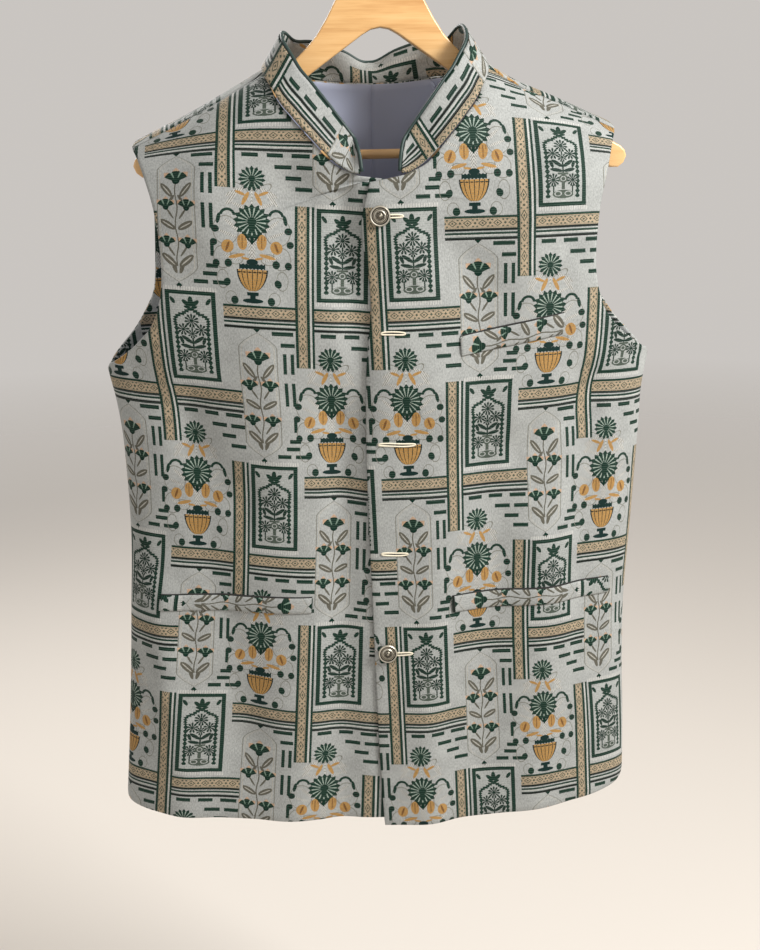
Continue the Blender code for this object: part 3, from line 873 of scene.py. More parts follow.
def cloth(name, outer, inner, weave, materials, seam=None):
    """A thin closed piece between two grids of points, its rims rounded but for the seams."""
    wide, tall = outer.shape[:2]
    count = wide * tall
    rim = [(i, 0) for i in range(wide)] + [(wide - 1, j) for j in range(1, tall)]
    rim += [(i, tall - 1) for i in range(wide - 2, -1, -1)] + [(0, j) for j in range(tall - 2, 0, -1)]
    i, j = np.array(rim).T
    p, q = np.clip(i, 1, wide - 2), np.clip(j, 1, tall - 2)
    way = unit(outer[i, j] - outer[p, q])
    depth = np.linalg.norm(outer[i, j] - inner[i, j], axis=-1, keepdims=True)
    bulge = np.full((len(rim), 1), 0.45)
    if seam is not None:
        bulge[seam(i / (wide - 1), j / (tall - 1))] = 0.0
    outer = outer.copy()
    middle = (outer[i, j] + inner[i, j]) / 2 + way * depth * bulge
    outer[i, j] += (inner[i, j] - outer[i, j]) * 0.28
    points = np.concatenate([outer.reshape(-1, 3), inner.reshape(-1, 3), middle])
    index = np.arange(count).reshape(wide, tall)
    cells = np.stack([index[:-1, :-1], index[1:, :-1], index[1:, 1:], index[:-1, 1:]], -1).reshape(-1, 4)
    edge_at = index[i, j]
    after = np.roll(edge_at, -1)
    ring = 2 * count + np.arange(len(rim))
    ring_after = np.roll(ring, -1)
    upper = np.stack([edge_at, ring, ring_after, after], -1)
    lower = np.stack([edge_at + count, after + count, ring_after, ring], -1)
    faces = np.concatenate([cells, cells[:, ::-1] + count, upper, lower])
    # two maps: where each point lies in the figure, and both faces side by side with nothing shared
    figure = np.concatenate([weave.reshape(-1, 2), weave.reshape(-1, 2), weave[i, j]])
    u, v = np.meshgrid(np.linspace(0, 1, wide), np.linspace(0, 1, tall), indexing="ij")
    face_out = np.stack([0.01 + 0.68 * u, 0.01 + 0.98 * v], -1).reshape(-1, 2)
    face_in = np.stack([0.73 + 0.25 * u, 0.01 + 0.98 * v], -1).reshape(-1, 2)
    push = np.stack([np.sign(i - p), np.sign(j - q)], -1) * 0.006
    loops_figure = figure[faces].reshape(-1, 2)
    chart = np.concatenate([face_out, face_in, face_out[edge_at] + push])[faces]
    under = len(faces) - len(lower)
    chart[under:, 2] = face_in[after] + np.roll(push, -1, axis=0)
    chart[under:, 3] = face_in[edge_at] + push
    if signed_volume(points, faces) < 0:
        faces = faces[:, ::-1]
        loops_figure = figure[faces].reshape(-1, 2)
        chart = chart[:, ::-1]
    indices = np.zeros(len(faces), np.int32)
    indices[len(cells) : 2 * len(cells)] = len(materials) - 1
    found = mesh_object(name, points, faces, materials, indices)
    for title, data in (("weave", loops_figure), ("OFBake", chart.reshape(-1, 2))):
        found.data.uv_layers.new(name=title).data.foreach_set("uv", data.astype(np.float32).ravel())
    return found


def finish_piece(found, nodes):
    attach(found, "root")
    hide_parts(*nodes)
    return found


def front_seams(u, t):
    """The side seam below the armhole, and the shoulder seam."""
    return ((u > 0.999) & (t < 0.501)) | (t > 0.999)


def make_front(name, side, table, z_near, near_out, lift, motif, ways):
    centre = then(edge(side, table, FRONT), 0.75, edge(side, NECK, FRONT))
    outer = then(side_seam(side, FRONT), 0.5, edge(side, ARM_FRONT, FRONT))
    near = float(place(side, near_out, z_near, FRONT)[0])
    low = hem(side, FRONT, near, z_near, SIDE, -843)
    at = patch(centre, outer, low, line(centre(np.array(1.0)), outer(np.array(1.0))))
    spot = at(np.linspace(0, 1, 84 // FINE + 1), np.linspace(0, 1, 168 // FINE + 1))
    raised = lift(side, spot) if lift else 0.0
    grids = [on_cloth(side, spot, off + raised) for off in (0.0, -CLOTH)]
    weave = figure_at(*along_cloth(side, spot, FRONT), motif, *ways)
    found = cloth(name + "_cloth", *grids, weave, [BROCADE, SATIN], front_seams)
    finish_piece(found, [name])


make_front(
    "front_right", RIGHT, UNDER_EDGE, -861, -15, None, (-33, -319), ((1.0, -0.082), (0.037, 1.0))
)
make_front(
    "front_left", LEFT, OVER_EDGE, -868, -7, over_lift, (25, -318), ((1.0, 0.008), (-0.029, 1.008))
)

# ---------------------------------------------------------------- the back
# One piece of the same brocade, lined with satin, from the hem over the ridge to the shoulder seams, which
# lie a little in front. It is sewn to the fronts there and down the sides, and hangs in soft folds.

ARM_BACK = (
    (0.5, 248, -413),
    (0.53, 238, -400),
    (0.57, 223, -382),
    (0.61, 209, -358),
    (0.65, 205, -340),
    (0.71, 203, -305),
    (0.77, 202, -268),
    (0.82, 203, -247),
    (0.87, 206, -230),
    (1, SHOULDER_POINT, None),
)
BACK_NECK = ((0, 0, -171), (0.12, 25, -170), (0.25, 54, -167), (0.34, 76, -164))
# where it comes over the ridge: t, distance from the centre, sigma
NECK_TURN = ((0.385, 88, -42), (0.425, 93, -27), (0.4625, 97, 0))


def back_half(side):
    """Half of the back between the centre line and the side."""
    start, end = place(side, 0, -864, BACK), place(side, 0, -171, BACK)
    centre = line(pair(*start), pair(*end))
    armhole = edge(side, ARM_BACK, BACK, SEAM - 2 * GAP)
    outer = then(side_seam(side, BACK), 0.5, armhole)
    low = hem(side, BACK, 0.0, -864, SIDE, -843)
    rows = [(u, *(float(v) for v in place(side, out, z, BACK))) for u, out, z in BACK_NECK]
    rows += [(u, math.asin(out / WIDEST), sigma) for u, out, sigma in NECK_TURN]
    rows.append((0.5, math.asin(NECK_POINT / WIDEST), SEAM - 2 * GAP))
    shoulder = line(rows[-1][1:], armhole(np.array(1.0)))

    def high(u):
        u = np.asarray(u)
        neck = pair(smooth(rows, u, 1), smooth(rows, u, 2))
        return np.where(u[..., None] < 0.5, neck, shoulder((u - 0.5) * 2))

    return patch(centre, outer, low, high)


def on_back(side, spot, motif):
    return figure_at(*along_cloth(side, spot, BACK), motif)


BACK_HALVES = {side: back_half(side) for side in (RIGHT, LEFT)}


def back_seams(u, t):
    """Both side seams below the armholes, and both shoulder seams."""
    out = np.abs(u - 0.5)
    return ((out > 0.4999) & (t < 0.501)) | ((t > 0.999) & (out > 0.25))


def make_back():
    rows = np.linspace(0, 1, 168 // FINE + 1)
    columns = np.linspace(0, 1, 84 // FINE + 1)
    outer, inner, weave = [], [], []
    for side, u in ((RIGHT, columns[:0:-1]), (LEFT, columns)):
        spot = BACK_HALVES[side](u, rows)
        outer.append(on_cloth(side, spot, 0.0))
        inner.append(on_cloth(side, spot, -CLOTH))
        weave.append(on_back(side, spot, (-22, -392)))
    grids = [np.concatenate(part) for part in (outer, inner, weave)]
    found = cloth("back_cloth", *grids, [BROCADE, SATIN], back_seams)
    finish_piece(found, ["back"])


make_back()

# ---------------------------------------------------------------- the back's lining
# Two pieces of grey-blue satin, joined down the centre, which show in the neck. They hang inside the back
# from the neck seam and are cut clear of the shoulders.

LINING = 1.0  # its wall
LINING_SIDE, LINING_HEM = 0.835, 1 / 24  # where it ends, as shares of the back's half width and length


def make_lining(side, word):
    """One half, from the centre seam outwards. Beyond the neck it stops short of the shoulder."""
    columns = np.linspace(0.001, LINING_SIDE, 40 // FINE + 1)
    rows = np.linspace(0, 1, 96 // FINE + 1)
    ends = 0.75 + 0.25 * (1 - step(columns, 0.26, 0.36))
    strips = []
    for u, end in zip(columns, ends):
        strips.append(BACK_HALVES[side](np.array([u]), LINING_HEM + rows * (end - LINING_HEM))[0])
    spot = np.stack(strips)
    grids = [on_cloth(side, spot, -(CLOTH + 4 * GAP) - deep) for deep in (0.0, LINING)]
    name = "back_lining_" + word
    found = cloth(name + "_satin", *grids, on_back(side, spot, (0, 0)), [SATIN])
    finish_piece(found, [name])


for side, word in ((RIGHT, "right"), (LEFT, "left")):
    make_lining(side, word)

# ---------------------------------------------------------------- the armhole facings
# A strip of brocade inside each of the back's armholes, sewn along the edge. It finishes the edge and
# shows beyond the front.

FACING = 1.0  # its wall
FACING_EDGE = 10.06 / 12  # its inner edge, as a share of the back's half width


def make_facing(side, word):
    spot = BACK_HALVES[side](np.linspace(FACING_EDGE, 1, 10), np.linspace(0.45, 1, 72 // FINE + 1))
    grids = [on_cloth(side, spot, -(CLOTH + 2 * GAP) - deep) for deep in (0.0, FACING)]
    name = "armhole_facing_" + word
    found = cloth(name + "_cloth", *grids, on_back(side, spot, (10, -250)), [BROCADE])
    finish_piece(found, [name])


for side, word in ((RIGHT, "right"), (LEFT, "left")):
    make_facing(side, word)

# ---------------------------------------------------------------- the collar
# A stand collar of two bands of brocade, an outer and an inner one, sewn up from the neck seam. It leans
# in over the neck, and its ends, which are lower, stand apart in front.

COLLAR = 1.4  # each band's wall
HALF_COLLAR, COLLAR_HEIGHT = 232, 28  # over which the figure is laid
# from a front end round to the centre back: t, distance from the centre, height of the neck seam, front or
# back, then how far the top edge is in, back and up
STAND = (
    (0.00, 18, -250.5, FRONT, 0, 3, 19),
    (0.05, 26, -249, FRONT, 5, 7, 25),
    (0.12, 39, -241, FRONT, 13, 10, 24),
    (0.22, 56, -224, FRONT, 16, 12, 26),
    (0.33, 75, -202, FRONT, 17, 12, 28),
    (0.43, 88, -184, FRONT, 17, 10, 28),
    (0.53, 97.5, -162, FRONT, 17, 4, 27),
    (0.66, 86, -162, BACK, 15, 4, 28),
    (0.78, 56, -167, BACK, 6, 9, 32),
    (0.89, 25, -170, BACK, 1, 14, 28),
    (1.00, 0, -171, BACK, 0, 19, 20),
)
SEAM_LINE = {
    side: [(row[0], *(float(v) for v in place(side, row[1], row[2], row[3]))) for row in STAND]
    for side in (RIGHT, LEFT)
}
# past the centre back the rows mirror, so that the curves run through it smoothly
for rows in SEAM_LINE.values():
    rows.append((2 - rows[-2][0], -rows[-2][1], rows[-2][2]))
LEAN = [(row[0], *row[4:]) for row in STAND]
LEAN.append((2 - LEAN[-2][0], -LEAN[-2][1], *LEAN[-2][2:]))


def stand(t, share, off):
    """A point of the collar: t goes from the right end (-1) round the back (0) to the left end (1)."""
    t, share, off = np.broadcast_arrays(*(np.asarray(v, float) for v in (t, share, off)))

    def on_face(along, up):
        at = 1 - np.abs(along)
        feet = {}
        for side in (RIGHT, LEFT):
            spot = pair(smooth(SEAM_LINE[side], at, 1), smooth(SEAM_LINE[side], at, 2))
            feet[side] = on_cloth(side, spot, 0.0)
        side = np.where(along > 0, LEFT, RIGHT)
        foot = np.where(along[..., None] > 0, feet[LEFT], feet[RIGHT])
        way = np.stack([-side * smooth(LEAN, at, 1), smooth(LEAN, at, 2), smooth(LEAN, at, 3)], -1)
        start = unit(way) * 1.8
        return foot + start + (way - start) * up[..., None]

    across = on_face(t + 0.004, share) - on_face(t - 0.004, share)
    upward = on_face(t, share + 0.05) - on_face(t, share - 0.05)
    return on_face(t, share) + unit(np.cross(across, upward)) * off[..., None]


def neck_seam(u, v):
    return v < 0.001


def make_collars():
    t = np.linspace(-1, 1, 240 // FINE + 1)
    share = np.linspace(0, 1, 12)
    t, share = np.meshgrid(t, share, indexing="ij")
    roll = 0.5 * np.sin(share * math.pi)
    # the outer band is cut upside down, with a level band of the figure along its seam
    for name, off, motif, way in (
        ("collar_outer", -COLLAR - GAP, (163.5, -51), -1.0),
        ("collar_inner", 0.0, (20, -24), 1.0),
    ):
        grids = [stand(t, share, off + roll - deep) for deep in (0, COLLAR)]
        weave = figure_at(t * HALF_COLLAR, share * COLLAR_HEIGHT, motif, (way, 0.0), (0.0, way))
        found = cloth(name + "_band", *grids, weave, [BROCADE], neck_seam)
        finish_piece(found, [name])


make_collars()

# ---------------------------------------------------------------- the collar's piping
# A thin cord in a bias strip of dark green satin, sewn between the two bands along the top edge and down
# both ends.

PIPING = 1.5  # its radius


def tube(name, path, radius, sides, material, closed=False):
    """A round cord along a path; its radius may change from point to point."""
    path = np.asarray(path, float)
    count = len(path)
    radius = np.broadcast_to(np.asarray(radius, float), (count,))
    if closed:
        along = unit(np.roll(path, -1, 0) - np.roll(path, 1, 0))
    else:
        along = unit(np.concatenate([path[1:2] - path[:1], path[2:] - path[:-2], path[-1:] - path[-2:-1]]))
    frame_way = unit(np.cross(along[0], (0.3, 0.2, 0.93)))
    angles = 2 * math.pi * np.arange(sides) / sides
    points = []
    for here, way, r in zip(path, along, radius):
        frame_way = unit(frame_way - way * np.dot(frame_way, way))
        other = np.cross(way, frame_way)
        points.append(here + (np.outer(np.cos(angles), frame_way) + np.outer(np.sin(angles), other)) * r)
    points = np.concatenate(points)
    faces = []
    for i in range(count if closed else count - 1):
        n = (i + 1) % count
        for k in range(sides):
            m = (k + 1) % sides
            faces.append([i * sides + k, i * sides + m, n * sides + m, n * sides + k])
    if not closed:
        faces.append(list(range(sides))[::-1])
        faces.append(list(range((count - 1) * sides, count * sides)))
    return mesh_object(name, points, faces, [material])


def make_piping():
    material, g, shader = new_material("piping_green", rgb(30, 52, 48), roughness=0.5)
    spot = g.add("ShaderNodeTexCoord").outputs["Object"]
    bump = g.add("ShaderNodeBump", {"Strength": 0.3, "Distance": 0.0003, "Height": g.noise(spot, 900, 2.0)})
    g.tree.links.new(bump.outputs[0], shader["Normal"])
    steps = np.linspace(-1, 1, 200 // FINE + 1)
    climb = np.array([0.1, 0.3, 0.5, 0.7, 0.86])
    t = np.concatenate([np.full(5, -1.0), steps, np.full(5, 1.0)])
    up = np.concatenate([climb, np.ones(len(steps)), climb[::-1]])
    bare = stand(t, up, -COLLAR - GAP / 2)
    along = np.concatenate([bare[1:2] - bare[:1], bare[2:] - bare[:-2], bare[-1:] - bare[-2:-1]])
    out = stand(t, up, 0) - stand(t, up, -1)
    path = bare + unit(np.cross(out, along)) * (PIPING + 2 * GAP)
    for _ in range(2):
        path[1:-1] = path[1:-1] * 0.5 + (path[2:] + path[:-2]) * 0.25
    finish_piece(tube("collar_piping_cord", path, PIPING, 14, material), ["collar_piping"])


make_piping()

# ---------------------------------------------------------------- the pocket welts
# Three narrow folded strips of brocade cut across the grain: one tilted on the left chest and one on each
# hip. Each is sewn flat on its front. The pocket's mouth along its upper edge is a thin dark cord of
# painted shade, for the shadow in the opening.

CHEST_WELT = ((69, -408), (161, -393), (163, -375), (68, -392))
HIP_RIGHT = ((72, -646), (211, -643), (209, -629), (71, -632))
HIP_LEFT = ((60, -651), (214, -648), (214, -633), (59, -636))
WELT = 1.5  # the wall
TAPER = (0.3, 2.84)  # a slit swells and thins as this part of a half wave
# painted shade: near black, for the cords that stand for the shadow in pocket mouths and buttonhole cuts
SLIT_SHADE = new_material("slit_dark", rgb(34, 34, 32), roughness=0.9)[0]


def make_welts():
    for name, side, corners, lift, motif, flat in (
        ("chest_welt", LEFT, CHEST_WELT, over_lift, (76, 76), (0.095, 0.018)),
        ("hip_welt_right", RIGHT, HIP_RIGHT, None, (79, 66), (0.142, 0.015)),
        ("hip_welt_left", LEFT, HIP_LEFT, over_lift, (80, 64), (0.158, 0.016)),
    ):
        a, b, c, d = (np.array(corner, float) for corner in corners)
        u, v = np.meshgrid(np.linspace(0, 1, 80 // FINE + 1), np.linspace(0, 1, 12), indexing="ij")
        low, high = a + (b - a) * u[..., None], d + (c - d) * u[..., None]
        at = low + (high - low) * v[..., None]
        spot = pair(*place(side, at[..., 0], at[..., 1], FRONT))
        raised = (lift(side, spot) if lift else 0.0) + 0.5 * np.sin(v * math.pi)
        grids = [on_cloth(side, spot, off + raised) for off in (GAP + WELT, GAP)]
        long, tall = float(np.linalg.norm(b - a)), float(np.linalg.norm(d - a))
        weave = figure_at(v * tall, -u * long, motif)
        found = cloth(name + "_cloth", *grids, weave, [BROCADE])
        # the pocket's mouth: a dark cord of painted shade along the upper edge
        slit = pair(*place(side, high[:, -1, 0], high[:, -1, 1] + 0.9, FRONT))
        path = on_cloth(side, slit, (lift(side, slit) if lift else 0.0) + 0.3)
        radius = np.sin(np.linspace(*TAPER, len(path))) ** 0.4
        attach(tube(name + "_slit", path, radius, 8, SLIT_SHADE), "root")
        finish_piece(found, [name])


make_welts()

# ---------------------------------------------------------------- the buttonholes
# Five slits through the left front, down its edge, with ivory thread worked round each one over the cut.
# The middle three have no button in them. Each cut is a thin dark cord of painted shade.

# height, and how far each end is from the centre line
BUTTONHOLES = ((-285, -2, 18), (-386, -3, 18), (-487, -7, 26), (-591, -6, 18), (-690, -2, 21))


def make_buttonholes():
    """A slit with thread worked round it, for each button; the slit is a dark cord of painted shade."""
    thread = new_material("buttonhole_thread", rgb(226, 218, 196), roughness=0.7)[0]
    angles = np.linspace(0, 2 * math.pi, 180 // FINE, endpoint=False)
    for number, (z, near, far) in enumerate(BUTTONHOLES):
        middle, half = (near + far) / 2, (far - near) / 2
        out = middle + half * np.sign(np.cos(angles)) * np.abs(np.cos(angles)) ** 0.6
        open_half = 1.25 * np.sign(np.sin(angles)) * np.abs(np.sin(angles)) ** 0.7
        spot = pair(*place(LEFT, out, z + open_half + 0.5 * np.sin(out / 7 + number), FRONT))
        radius = 0.62 + 0.2 * np.abs(np.sin(angles * 44))
        path = on_cloth(LEFT, spot, over_lift(LEFT, spot) + 0.35)
        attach(tube("buttonhole_%d" % (number + 1), path, radius, 8, thread, closed=True), "root")
        # the cut: a thin dark cord of painted shade, for the shadow inside it
        out = np.linspace(near + 1, far - 1, 18)
        spot = pair(*place(LEFT, out, z + 0.5 * np.sin(out / 7 + number), FRONT))
        path = on_cloth(LEFT, spot, over_lift(LEFT, spot) + 0.05)
        radius = 0.6 * np.sin(np.linspace(*TAPER, len(path)))
        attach(tube("slit_%d" % (number + 1), path, radius, 8, SLIT_SHADE), "root")


make_buttonholes()

# ---------------------------------------------------------------- the buttons
# Two shank buttons cast in antique silver, with a raised rim, a ring of beads and a rosette, blackened in
# the hollows. They are sewn to the right front and stand in the first and the last buttonhole.

# name, distance from the centre line, height
BUTTONS = (("button_top", -2, -284), ("button_bottom", -2, -689))
# a button's section: radius, height over its back
DOME = (
    (6.3, 0),
    (7.9, 0.5),
    (8.7, 1.1),
    (9.0, 2.0),
    (8.8, 2.8),
    (8.2, 3.3),
    (7.5, 3.1),
    (7.1, 2.1),
    (6.7, 2.0),
    (5.3, 2.3),
    (4.8, 2.4),
    (4.3, 3.0),
    (2.6, 2.7),
    (2.1, 3.0),
    (1.4, 3.9),
    (0.5, 4.2),
)


def join_all(objects, name):
    """One object of them all, its place in its mesh."""
    bpy.ops.object.select_all(action="DESELECT")
    for each in objects:
        each.select_set(True)
    bpy.context.view_layer.objects.active = objects[0]
    bpy.ops.object.join()
    joined = bpy.context.object
    joined.name = joined.data.name = name
    bpy.ops.object.transform_apply(location=True, rotation=True, scale=True)
    return joined


def cast_bead(radius, at, height):
    """A bead half sunk in the button's face. `at` is how far out it stands, and how far round."""
    where = (at[0] * math.cos(at[1]) * MM, at[0] * math.sin(at[1]) * MM, height * MM)
    bpy.ops.mesh.primitive_uv_sphere_add(segments=10, ring_count=6, radius=radius * MM, location=where)
    return bpy.context.object


def make_button(name, out, z, material):
    """Turned from a disc ring by ring, then set with a ring of beads and a rosette."""
    bpy.ops.object.select_all(action="DESELECT")
    bpy.ops.mesh.primitive_circle_add(vertices=72, radius=DOME[0][0] * MM, fill_type="NGON")
    disc = bpy.context.object
    bpy.ops.object.mode_set(mode="EDIT")
    bpy.ops.mesh.select_all(action="SELECT")
    for (wide, low), (next_wide, high) in zip(DOME, DOME[1:]):
        bpy.ops.mesh.extrude_region_move(TRANSFORM_OT_translate={"value": (0, 0, (high - low) * MM)})
        bpy.ops.transform.resize(value=(next_wide / wide, next_wide / wide, 1))
    bpy.ops.mesh.select_all(action="SELECT")
    bpy.ops.mesh.normals_make_consistent(inside=False)
    bpy.ops.object.mode_set(mode="OBJECT")
    beads = [cast_bead(0.36, (6.05, 2 * math.pi * k / 32), 2.95) for k in range(32)]
    beads += [cast_bead(0.62, (3.4, 2 * math.pi * k / 8), 3.05) for k in range(8)]
    found = join_all([disc, *beads], name + "_cast")
    found.data.materials.append(material)
    bpy.ops.object.shade_smooth_by_angle(angle=math.radians(40))
    # a map of the face, 20 mm square
    face = found.data.uv_layers.new(name="face")
    for loop in found.data.loops:
        point = found.data.vertices[loop.vertex_index].co / MM / 20
        face.data[loop.index].uv = (point.x + 0.5, point.y + 0.5)
    spot = pair(*place(LEFT, np.array(float(out)), float(z), FRONT))
    axis = normal(LEFT, spot[..., 0], spot[..., 1])
    foot = on_cloth(LEFT, spot, over_lift(LEFT, spot) + 2.2 * GAP)
    across = unit(np.cross((0, 1, 0), axis))
    turned = Matrix(np.stack([across, np.cross(axis, across), axis], -1).tolist()).to_4x4()
    found.data.transform(Matrix.Translation(Vector((foot * MM).tolist())) @ turned)
    finish_piece(found, [name])


def make_buttons():
    material, g, shader = new_material("antique_silver", roughness=0.42, metallic=1.0)
    spot = g.add("ShaderNodeUVMap", uv_map="face").outputs[0]
    bright, worn, black = rgb(208, 202, 188), rgb(150, 144, 130), rgb(44, 41, 37)
    # from the middle out, in tenths of the map: rubbed bright on the high rings, black in the hollows
    rings = (
        (0.0, bright),
        (0.09, worn),
        (0.14, black),
        (0.2, worn),
        (0.3, black),
        (0.37, worn),
        (0.4, black),
        (0.44, bright),
        (0.51, bright),
        (0.54, black),
        (0.58, worn),
        (0.64, worn),
        (0.68, black),
        (0.73, black),
        (0.77, bright),
        (0.9, bright),
    )
    reach = g.reach(spot, (0.5, 0.5), (0.5, 0.5))
    g.tree.links.new(g.ramp(reach, rings, hard=False), shader["Base Color"])
    for name, out, z in BUTTONS:
        make_button(name, out, z, material)


make_buttons()

# ---------------------------------------------------------------- the hanger's hook
# Steel wire bent to a round eye on a straight shank. The shank is screwed into the middle of the wood, and
# the eye hangs over the rail.

WIRE, HOOK_RADIUS = 2.0, 21.0
SHANK_TOP = -66.0  # where the straight shank ends and the bend begins


def make_hook():
    """Wire bent to a round eye over a straight shank."""
    steel = new_material("steel", rgb(190, 190, 192), roughness=0.25, metallic=1.0)[0]
    eye = np.array([0, 0, WIRE - HOOK_RADIUS])
    turn = np.radians(np.arange(-60, 206, 4))
    ring = eye + np.stack([np.cos(turn), 0 * turn, np.sin(turn)], -1) * HOOK_RADIUS
    start, end = np.array([0, 0, SHANK_TOP]), ring[0]
    arms = start + (0, 0, 13), end - np.array([0.866, 0, 0.5]) * 9
    u = (np.arange(1, 14) / 14)[:, None]
    bend = start * (1 - u) ** 3 + arms[0] * 3 * u * (1 - u) ** 2
    bend = bend + arms[1] * 3 * u * u * (1 - u) + end * u**3
    path = np.concatenate([[(0, 0, -98), (0, 0, -80), start], bend, ring]) * MM
    curve = bpy.data.curves.new("hanger_hook_wire", "CURVE")
    curve.dimensions = "3D"
    curve.bevel_depth = WIRE * MM
    curve.bevel_resolution = 6
    curve.use_fill_caps = True
    spline = curve.splines.new("POLY")
    spline.points.add(len(path) - 1)
    for point, at in zip(spline.points, path):
        point.co = (*at, 1)
    hook = bpy.data.objects.new("hanger_hook_wire", curve)
    bpy.context.collection.objects.link(hook)
    bpy.ops.object.select_all(action="DESELECT")
    hook.select_set(True)
    bpy.context.view_layer.objects.active = hook
    bpy.ops.object.convert(target="MESH")
    hook = bpy.context.object
    bpy.ops.object.mode_set(mode="EDIT")
    bpy.ops.mesh.select_all(action="SELECT")
    bpy.ops.mesh.remove_doubles(threshold=1e-6)
    bpy.ops.mesh.normals_make_consistent(inside=False)
    bpy.ops.object.mode_set(mode="OBJECT")
    hook.data.materials.append(steel)
    bpy.ops.object.shade_smooth_by_angle(angle=math.radians(40))
    finish_piece(hook, ["hanger_hook"])


make_hook()

# ---------------------------------------------------------------- the hanger's arms and bar
# Both arms are one flat board of pale varnished wood with rounded edges. The turned bar for trousers
# crosses between the arms, its ends set in them.

# half of the hanger's outline: the upper edge from the middle to the tip, and the lower one back
HANGER_TOP = (
    (0, -75),
    (13, -76),
    (24, -81),
    (32, -90),
    (39, -102),
    (47, -117),
    (56, -131),
    (65, -141),
    (76, -151.5),
)
HANGER_TIP = ((92, -163), (216, -230), (220, -234), (221.5, -239), (219, -245), (214, -249), (207, -249))
HANGER_LOW = ((76, -173), (66, -166), (16, -131), (8, -126.5), (0, -125))
HANGER_HALF, HANGER_EDGE = 6.0, 1.8  # half the board's thickness, and the rounding of its edges
BAR_RADIUS, BAR_HEIGHT, BAR_END = 4.3, -233.0, 196.0


def make_wood():
    material, g, shader = new_material("wood", roughness=0.36)
    shader["Coat Weight"].default_value = 0.25
    shader["Coat Roughness"].default_value = 0.2
    spot = g.add("ShaderNodeTexCoord").outputs["Object"]
    long = g.vector("MULTIPLY", spot, (7, 60, 95))
    grain = g.noise(long, 1.0, 4.0, 0.6)
    fine = g.noise(g.vector("MULTIPLY", spot, (30, 500, 700)), 1.0, 2.0)
    value = g.math("MULTIPLY_ADD", fine, 0.25, g.math("MULTIPLY", grain, 0.8))
    tones = ((0.3, rgb(186, 136, 80)), (0.5, rgb(214, 169, 111)), (0.75, rgb(227, 187, 132)))
    tone = g.ramp(value, tones, hard=False)
    g.tree.links.new(tone, shader["Base Color"])
    return material


def make_hanger():
    wood = make_wood()
    half = list(HANGER_TOP) + list(HANGER_TIP) + list(HANGER_LOW)
    outline = half + [(-x, z) for x, z in reversed(half[1:-1])]
    curve = bpy.data.curves.new("hanger_body_wood", "CURVE")
    curve.dimensions = "2D"
    curve.fill_mode = "BOTH"
    curve.extrude = (HANGER_HALF - HANGER_EDGE) * MM
    curve.bevel_depth = HANGER_EDGE * MM
    curve.bevel_resolution = 4
    curve.offset = -HANGER_EDGE * MM
    spline = curve.splines.new("POLY")
    spline.points.add(len(outline) - 1)
    for point, (x, z) in zip(spline.points, outline):
        point.co = (x * MM, z * MM, 0, 1)
    spline.use_cyclic_u = True
    shape = bpy.data.objects.new("hanger_outline", curve)
    bpy.context.collection.objects.link(shape)
    bpy.context.view_layer.update()
    mesh = bpy.data.meshes.new_from_object(shape.evaluated_get(bpy.context.evaluated_depsgraph_get()))
    bpy.data.objects.remove(shape)
    mesh.transform(Matrix.Rotation(math.pi / 2, 4, "X"))
    mesh.name = "hanger_body_wood"
    work = bmesh.new()
    work.from_mesh(mesh)
    bmesh.ops.remove_doubles(work, verts=work.verts, dist=1e-6)
    bmesh.ops.recalc_face_normals(work, faces=work.faces)
    work.to_mesh(mesh)
    work.free()
    mesh.materials.clear()
    mesh.materials.append(wood)
    mesh.polygons.foreach_set("use_smooth", [True] * len(mesh.polygons))
    mesh.set_sharp_from_angle(angle=math.radians(28))
    body_piece = bpy.data.objects.new("hanger_body_wood", mesh)
    bpy.context.collection.objects.link(body_piece)
    finish_piece(body_piece, ["hanger_body"])
    bpy.ops.object.select_all(action="DESELECT")
    bpy.ops.mesh.primitive_cylinder_add(
        vertices=40,
        radius=BAR_RADIUS * MM,
        depth=2 * BAR_END * MM,
        location=(0, 0, BAR_HEIGHT * MM),
        rotation=(0, math.pi / 2, 0),
    )
    bar = join_all([bpy.context.object], "hanger_bar_wood")
    bar.data.materials.append(wood)
    bpy.ops.object.shade_smooth_by_angle(angle=math.radians(40))
    finish_piece(bar, ["hanger_bar"])


make_hanger()

# ---------------------------------------------------------------- the floor, light and camera
# A plain pale floor far below, a soft key light on the wearer's left with a weak fill on the right, one
# light behind, a pale surround, and the camera in front.

FLOOR_HALF, FLOOR_HEIGHT = 9000, -1290
MIDDLE = -0.5  # the height that the lights point at, in metres


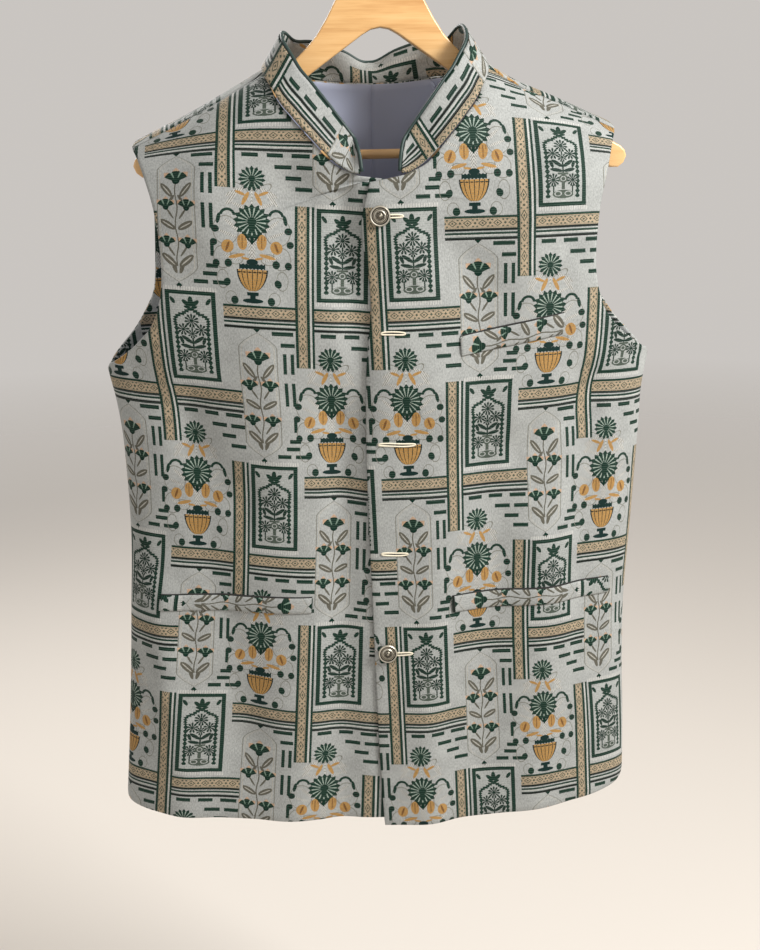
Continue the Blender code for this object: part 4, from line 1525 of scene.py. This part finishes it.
def make_studio():
    pale, g, shader = new_material("floor_pale", rgb(208, 202, 194), roughness=0.8)
    # far off the floor gives way to the pale surroundings
    across = g.vector("LENGTH", g.add("ShaderNodeTexCoord").outputs["Object"])
    share = g.math("MULTIPLY", across, 1 / 8)
    g.tree.links.new(g.ramp(share, ((0.22, 1.0), (0.7, 0.0)), hard=False), shader["Alpha"])
    corners = ((-1, -1), (1, -1), (1, 1), (-1, 1))
    points = [(x * FLOOR_HALF, y * FLOOR_HALF, FLOOR_HEIGHT) for x, y in corners]
    floor = mesh_object("floor", points, [(0, 1, 2, 3)], [pale], smooth_shaded=False)
    world = bpy.data.worlds.new("studio")
    bpy.context.scene.world = world
    bpy.context.scene.view_settings.view_transform = "Standard"
    world.use_nodes = True
    sky = world.node_tree.nodes["Background"]
    sky.inputs["Color"].default_value = (*rgb(236, 231, 226), 1)
    sky.inputs["Strength"].default_value = 0.7
    for name, at, size, power, colour in (
        ("key_light", (1.45, -1.0, 0.7), 0.6, 66, (1.0, 0.985, 0.965)),
        ("fill_light", (-1.5, -1.3, 0.0), 1.5, 4, (0.96, 0.98, 1.0)),
        ("rear_light", (-0.9, 1.6, 0.6), 1.0, 26, (1.0, 0.98, 0.96)),
    ):
        lamp = bpy.data.lights.new(name, "AREA")
        lamp.size = size
        lamp.energy = power
        lamp.color = colour
        holder = bpy.data.objects.new(name, lamp)
        bpy.context.collection.objects.link(holder)
        way = Vector((0, 0, MIDDLE)) - Vector(at)
        holder.matrix_world = Matrix.Translation(at) @ way.to_track_quat("-Z", "Y").to_matrix().to_4x4()


def make_camera():
    """In front, a little to the wearer's right, looking down and rolled a little."""
    pitch, turn, roll, distance = math.radians(14), math.radians(4), math.radians(1.2), 1.30
    ahead = Vector((math.sin(turn) * math.cos(pitch), math.cos(turn) * math.cos(pitch), -math.sin(pitch)))
    right = ahead.cross(Vector((0, 0, 1))).normalized()
    up = right.cross(ahead)
    right, up = right * math.cos(roll) - up * math.sin(roll), right * math.sin(roll) + up * math.cos(roll)
    data = bpy.data.cameras.new("camera")
    data.sensor_width = 36
    data.lens = 51.84
    holder = bpy.data.objects.new("camera", data)
    bpy.context.collection.objects.link(holder)
    target = Vector((-0.008, 0, -0.530))
    turned = Matrix((right, up, -ahead)).transposed().to_4x4()
    holder.matrix_world = Matrix.Translation(target - ahead * distance) @ turned
    bpy.context.scene.camera = holder


make_studio()
make_camera()
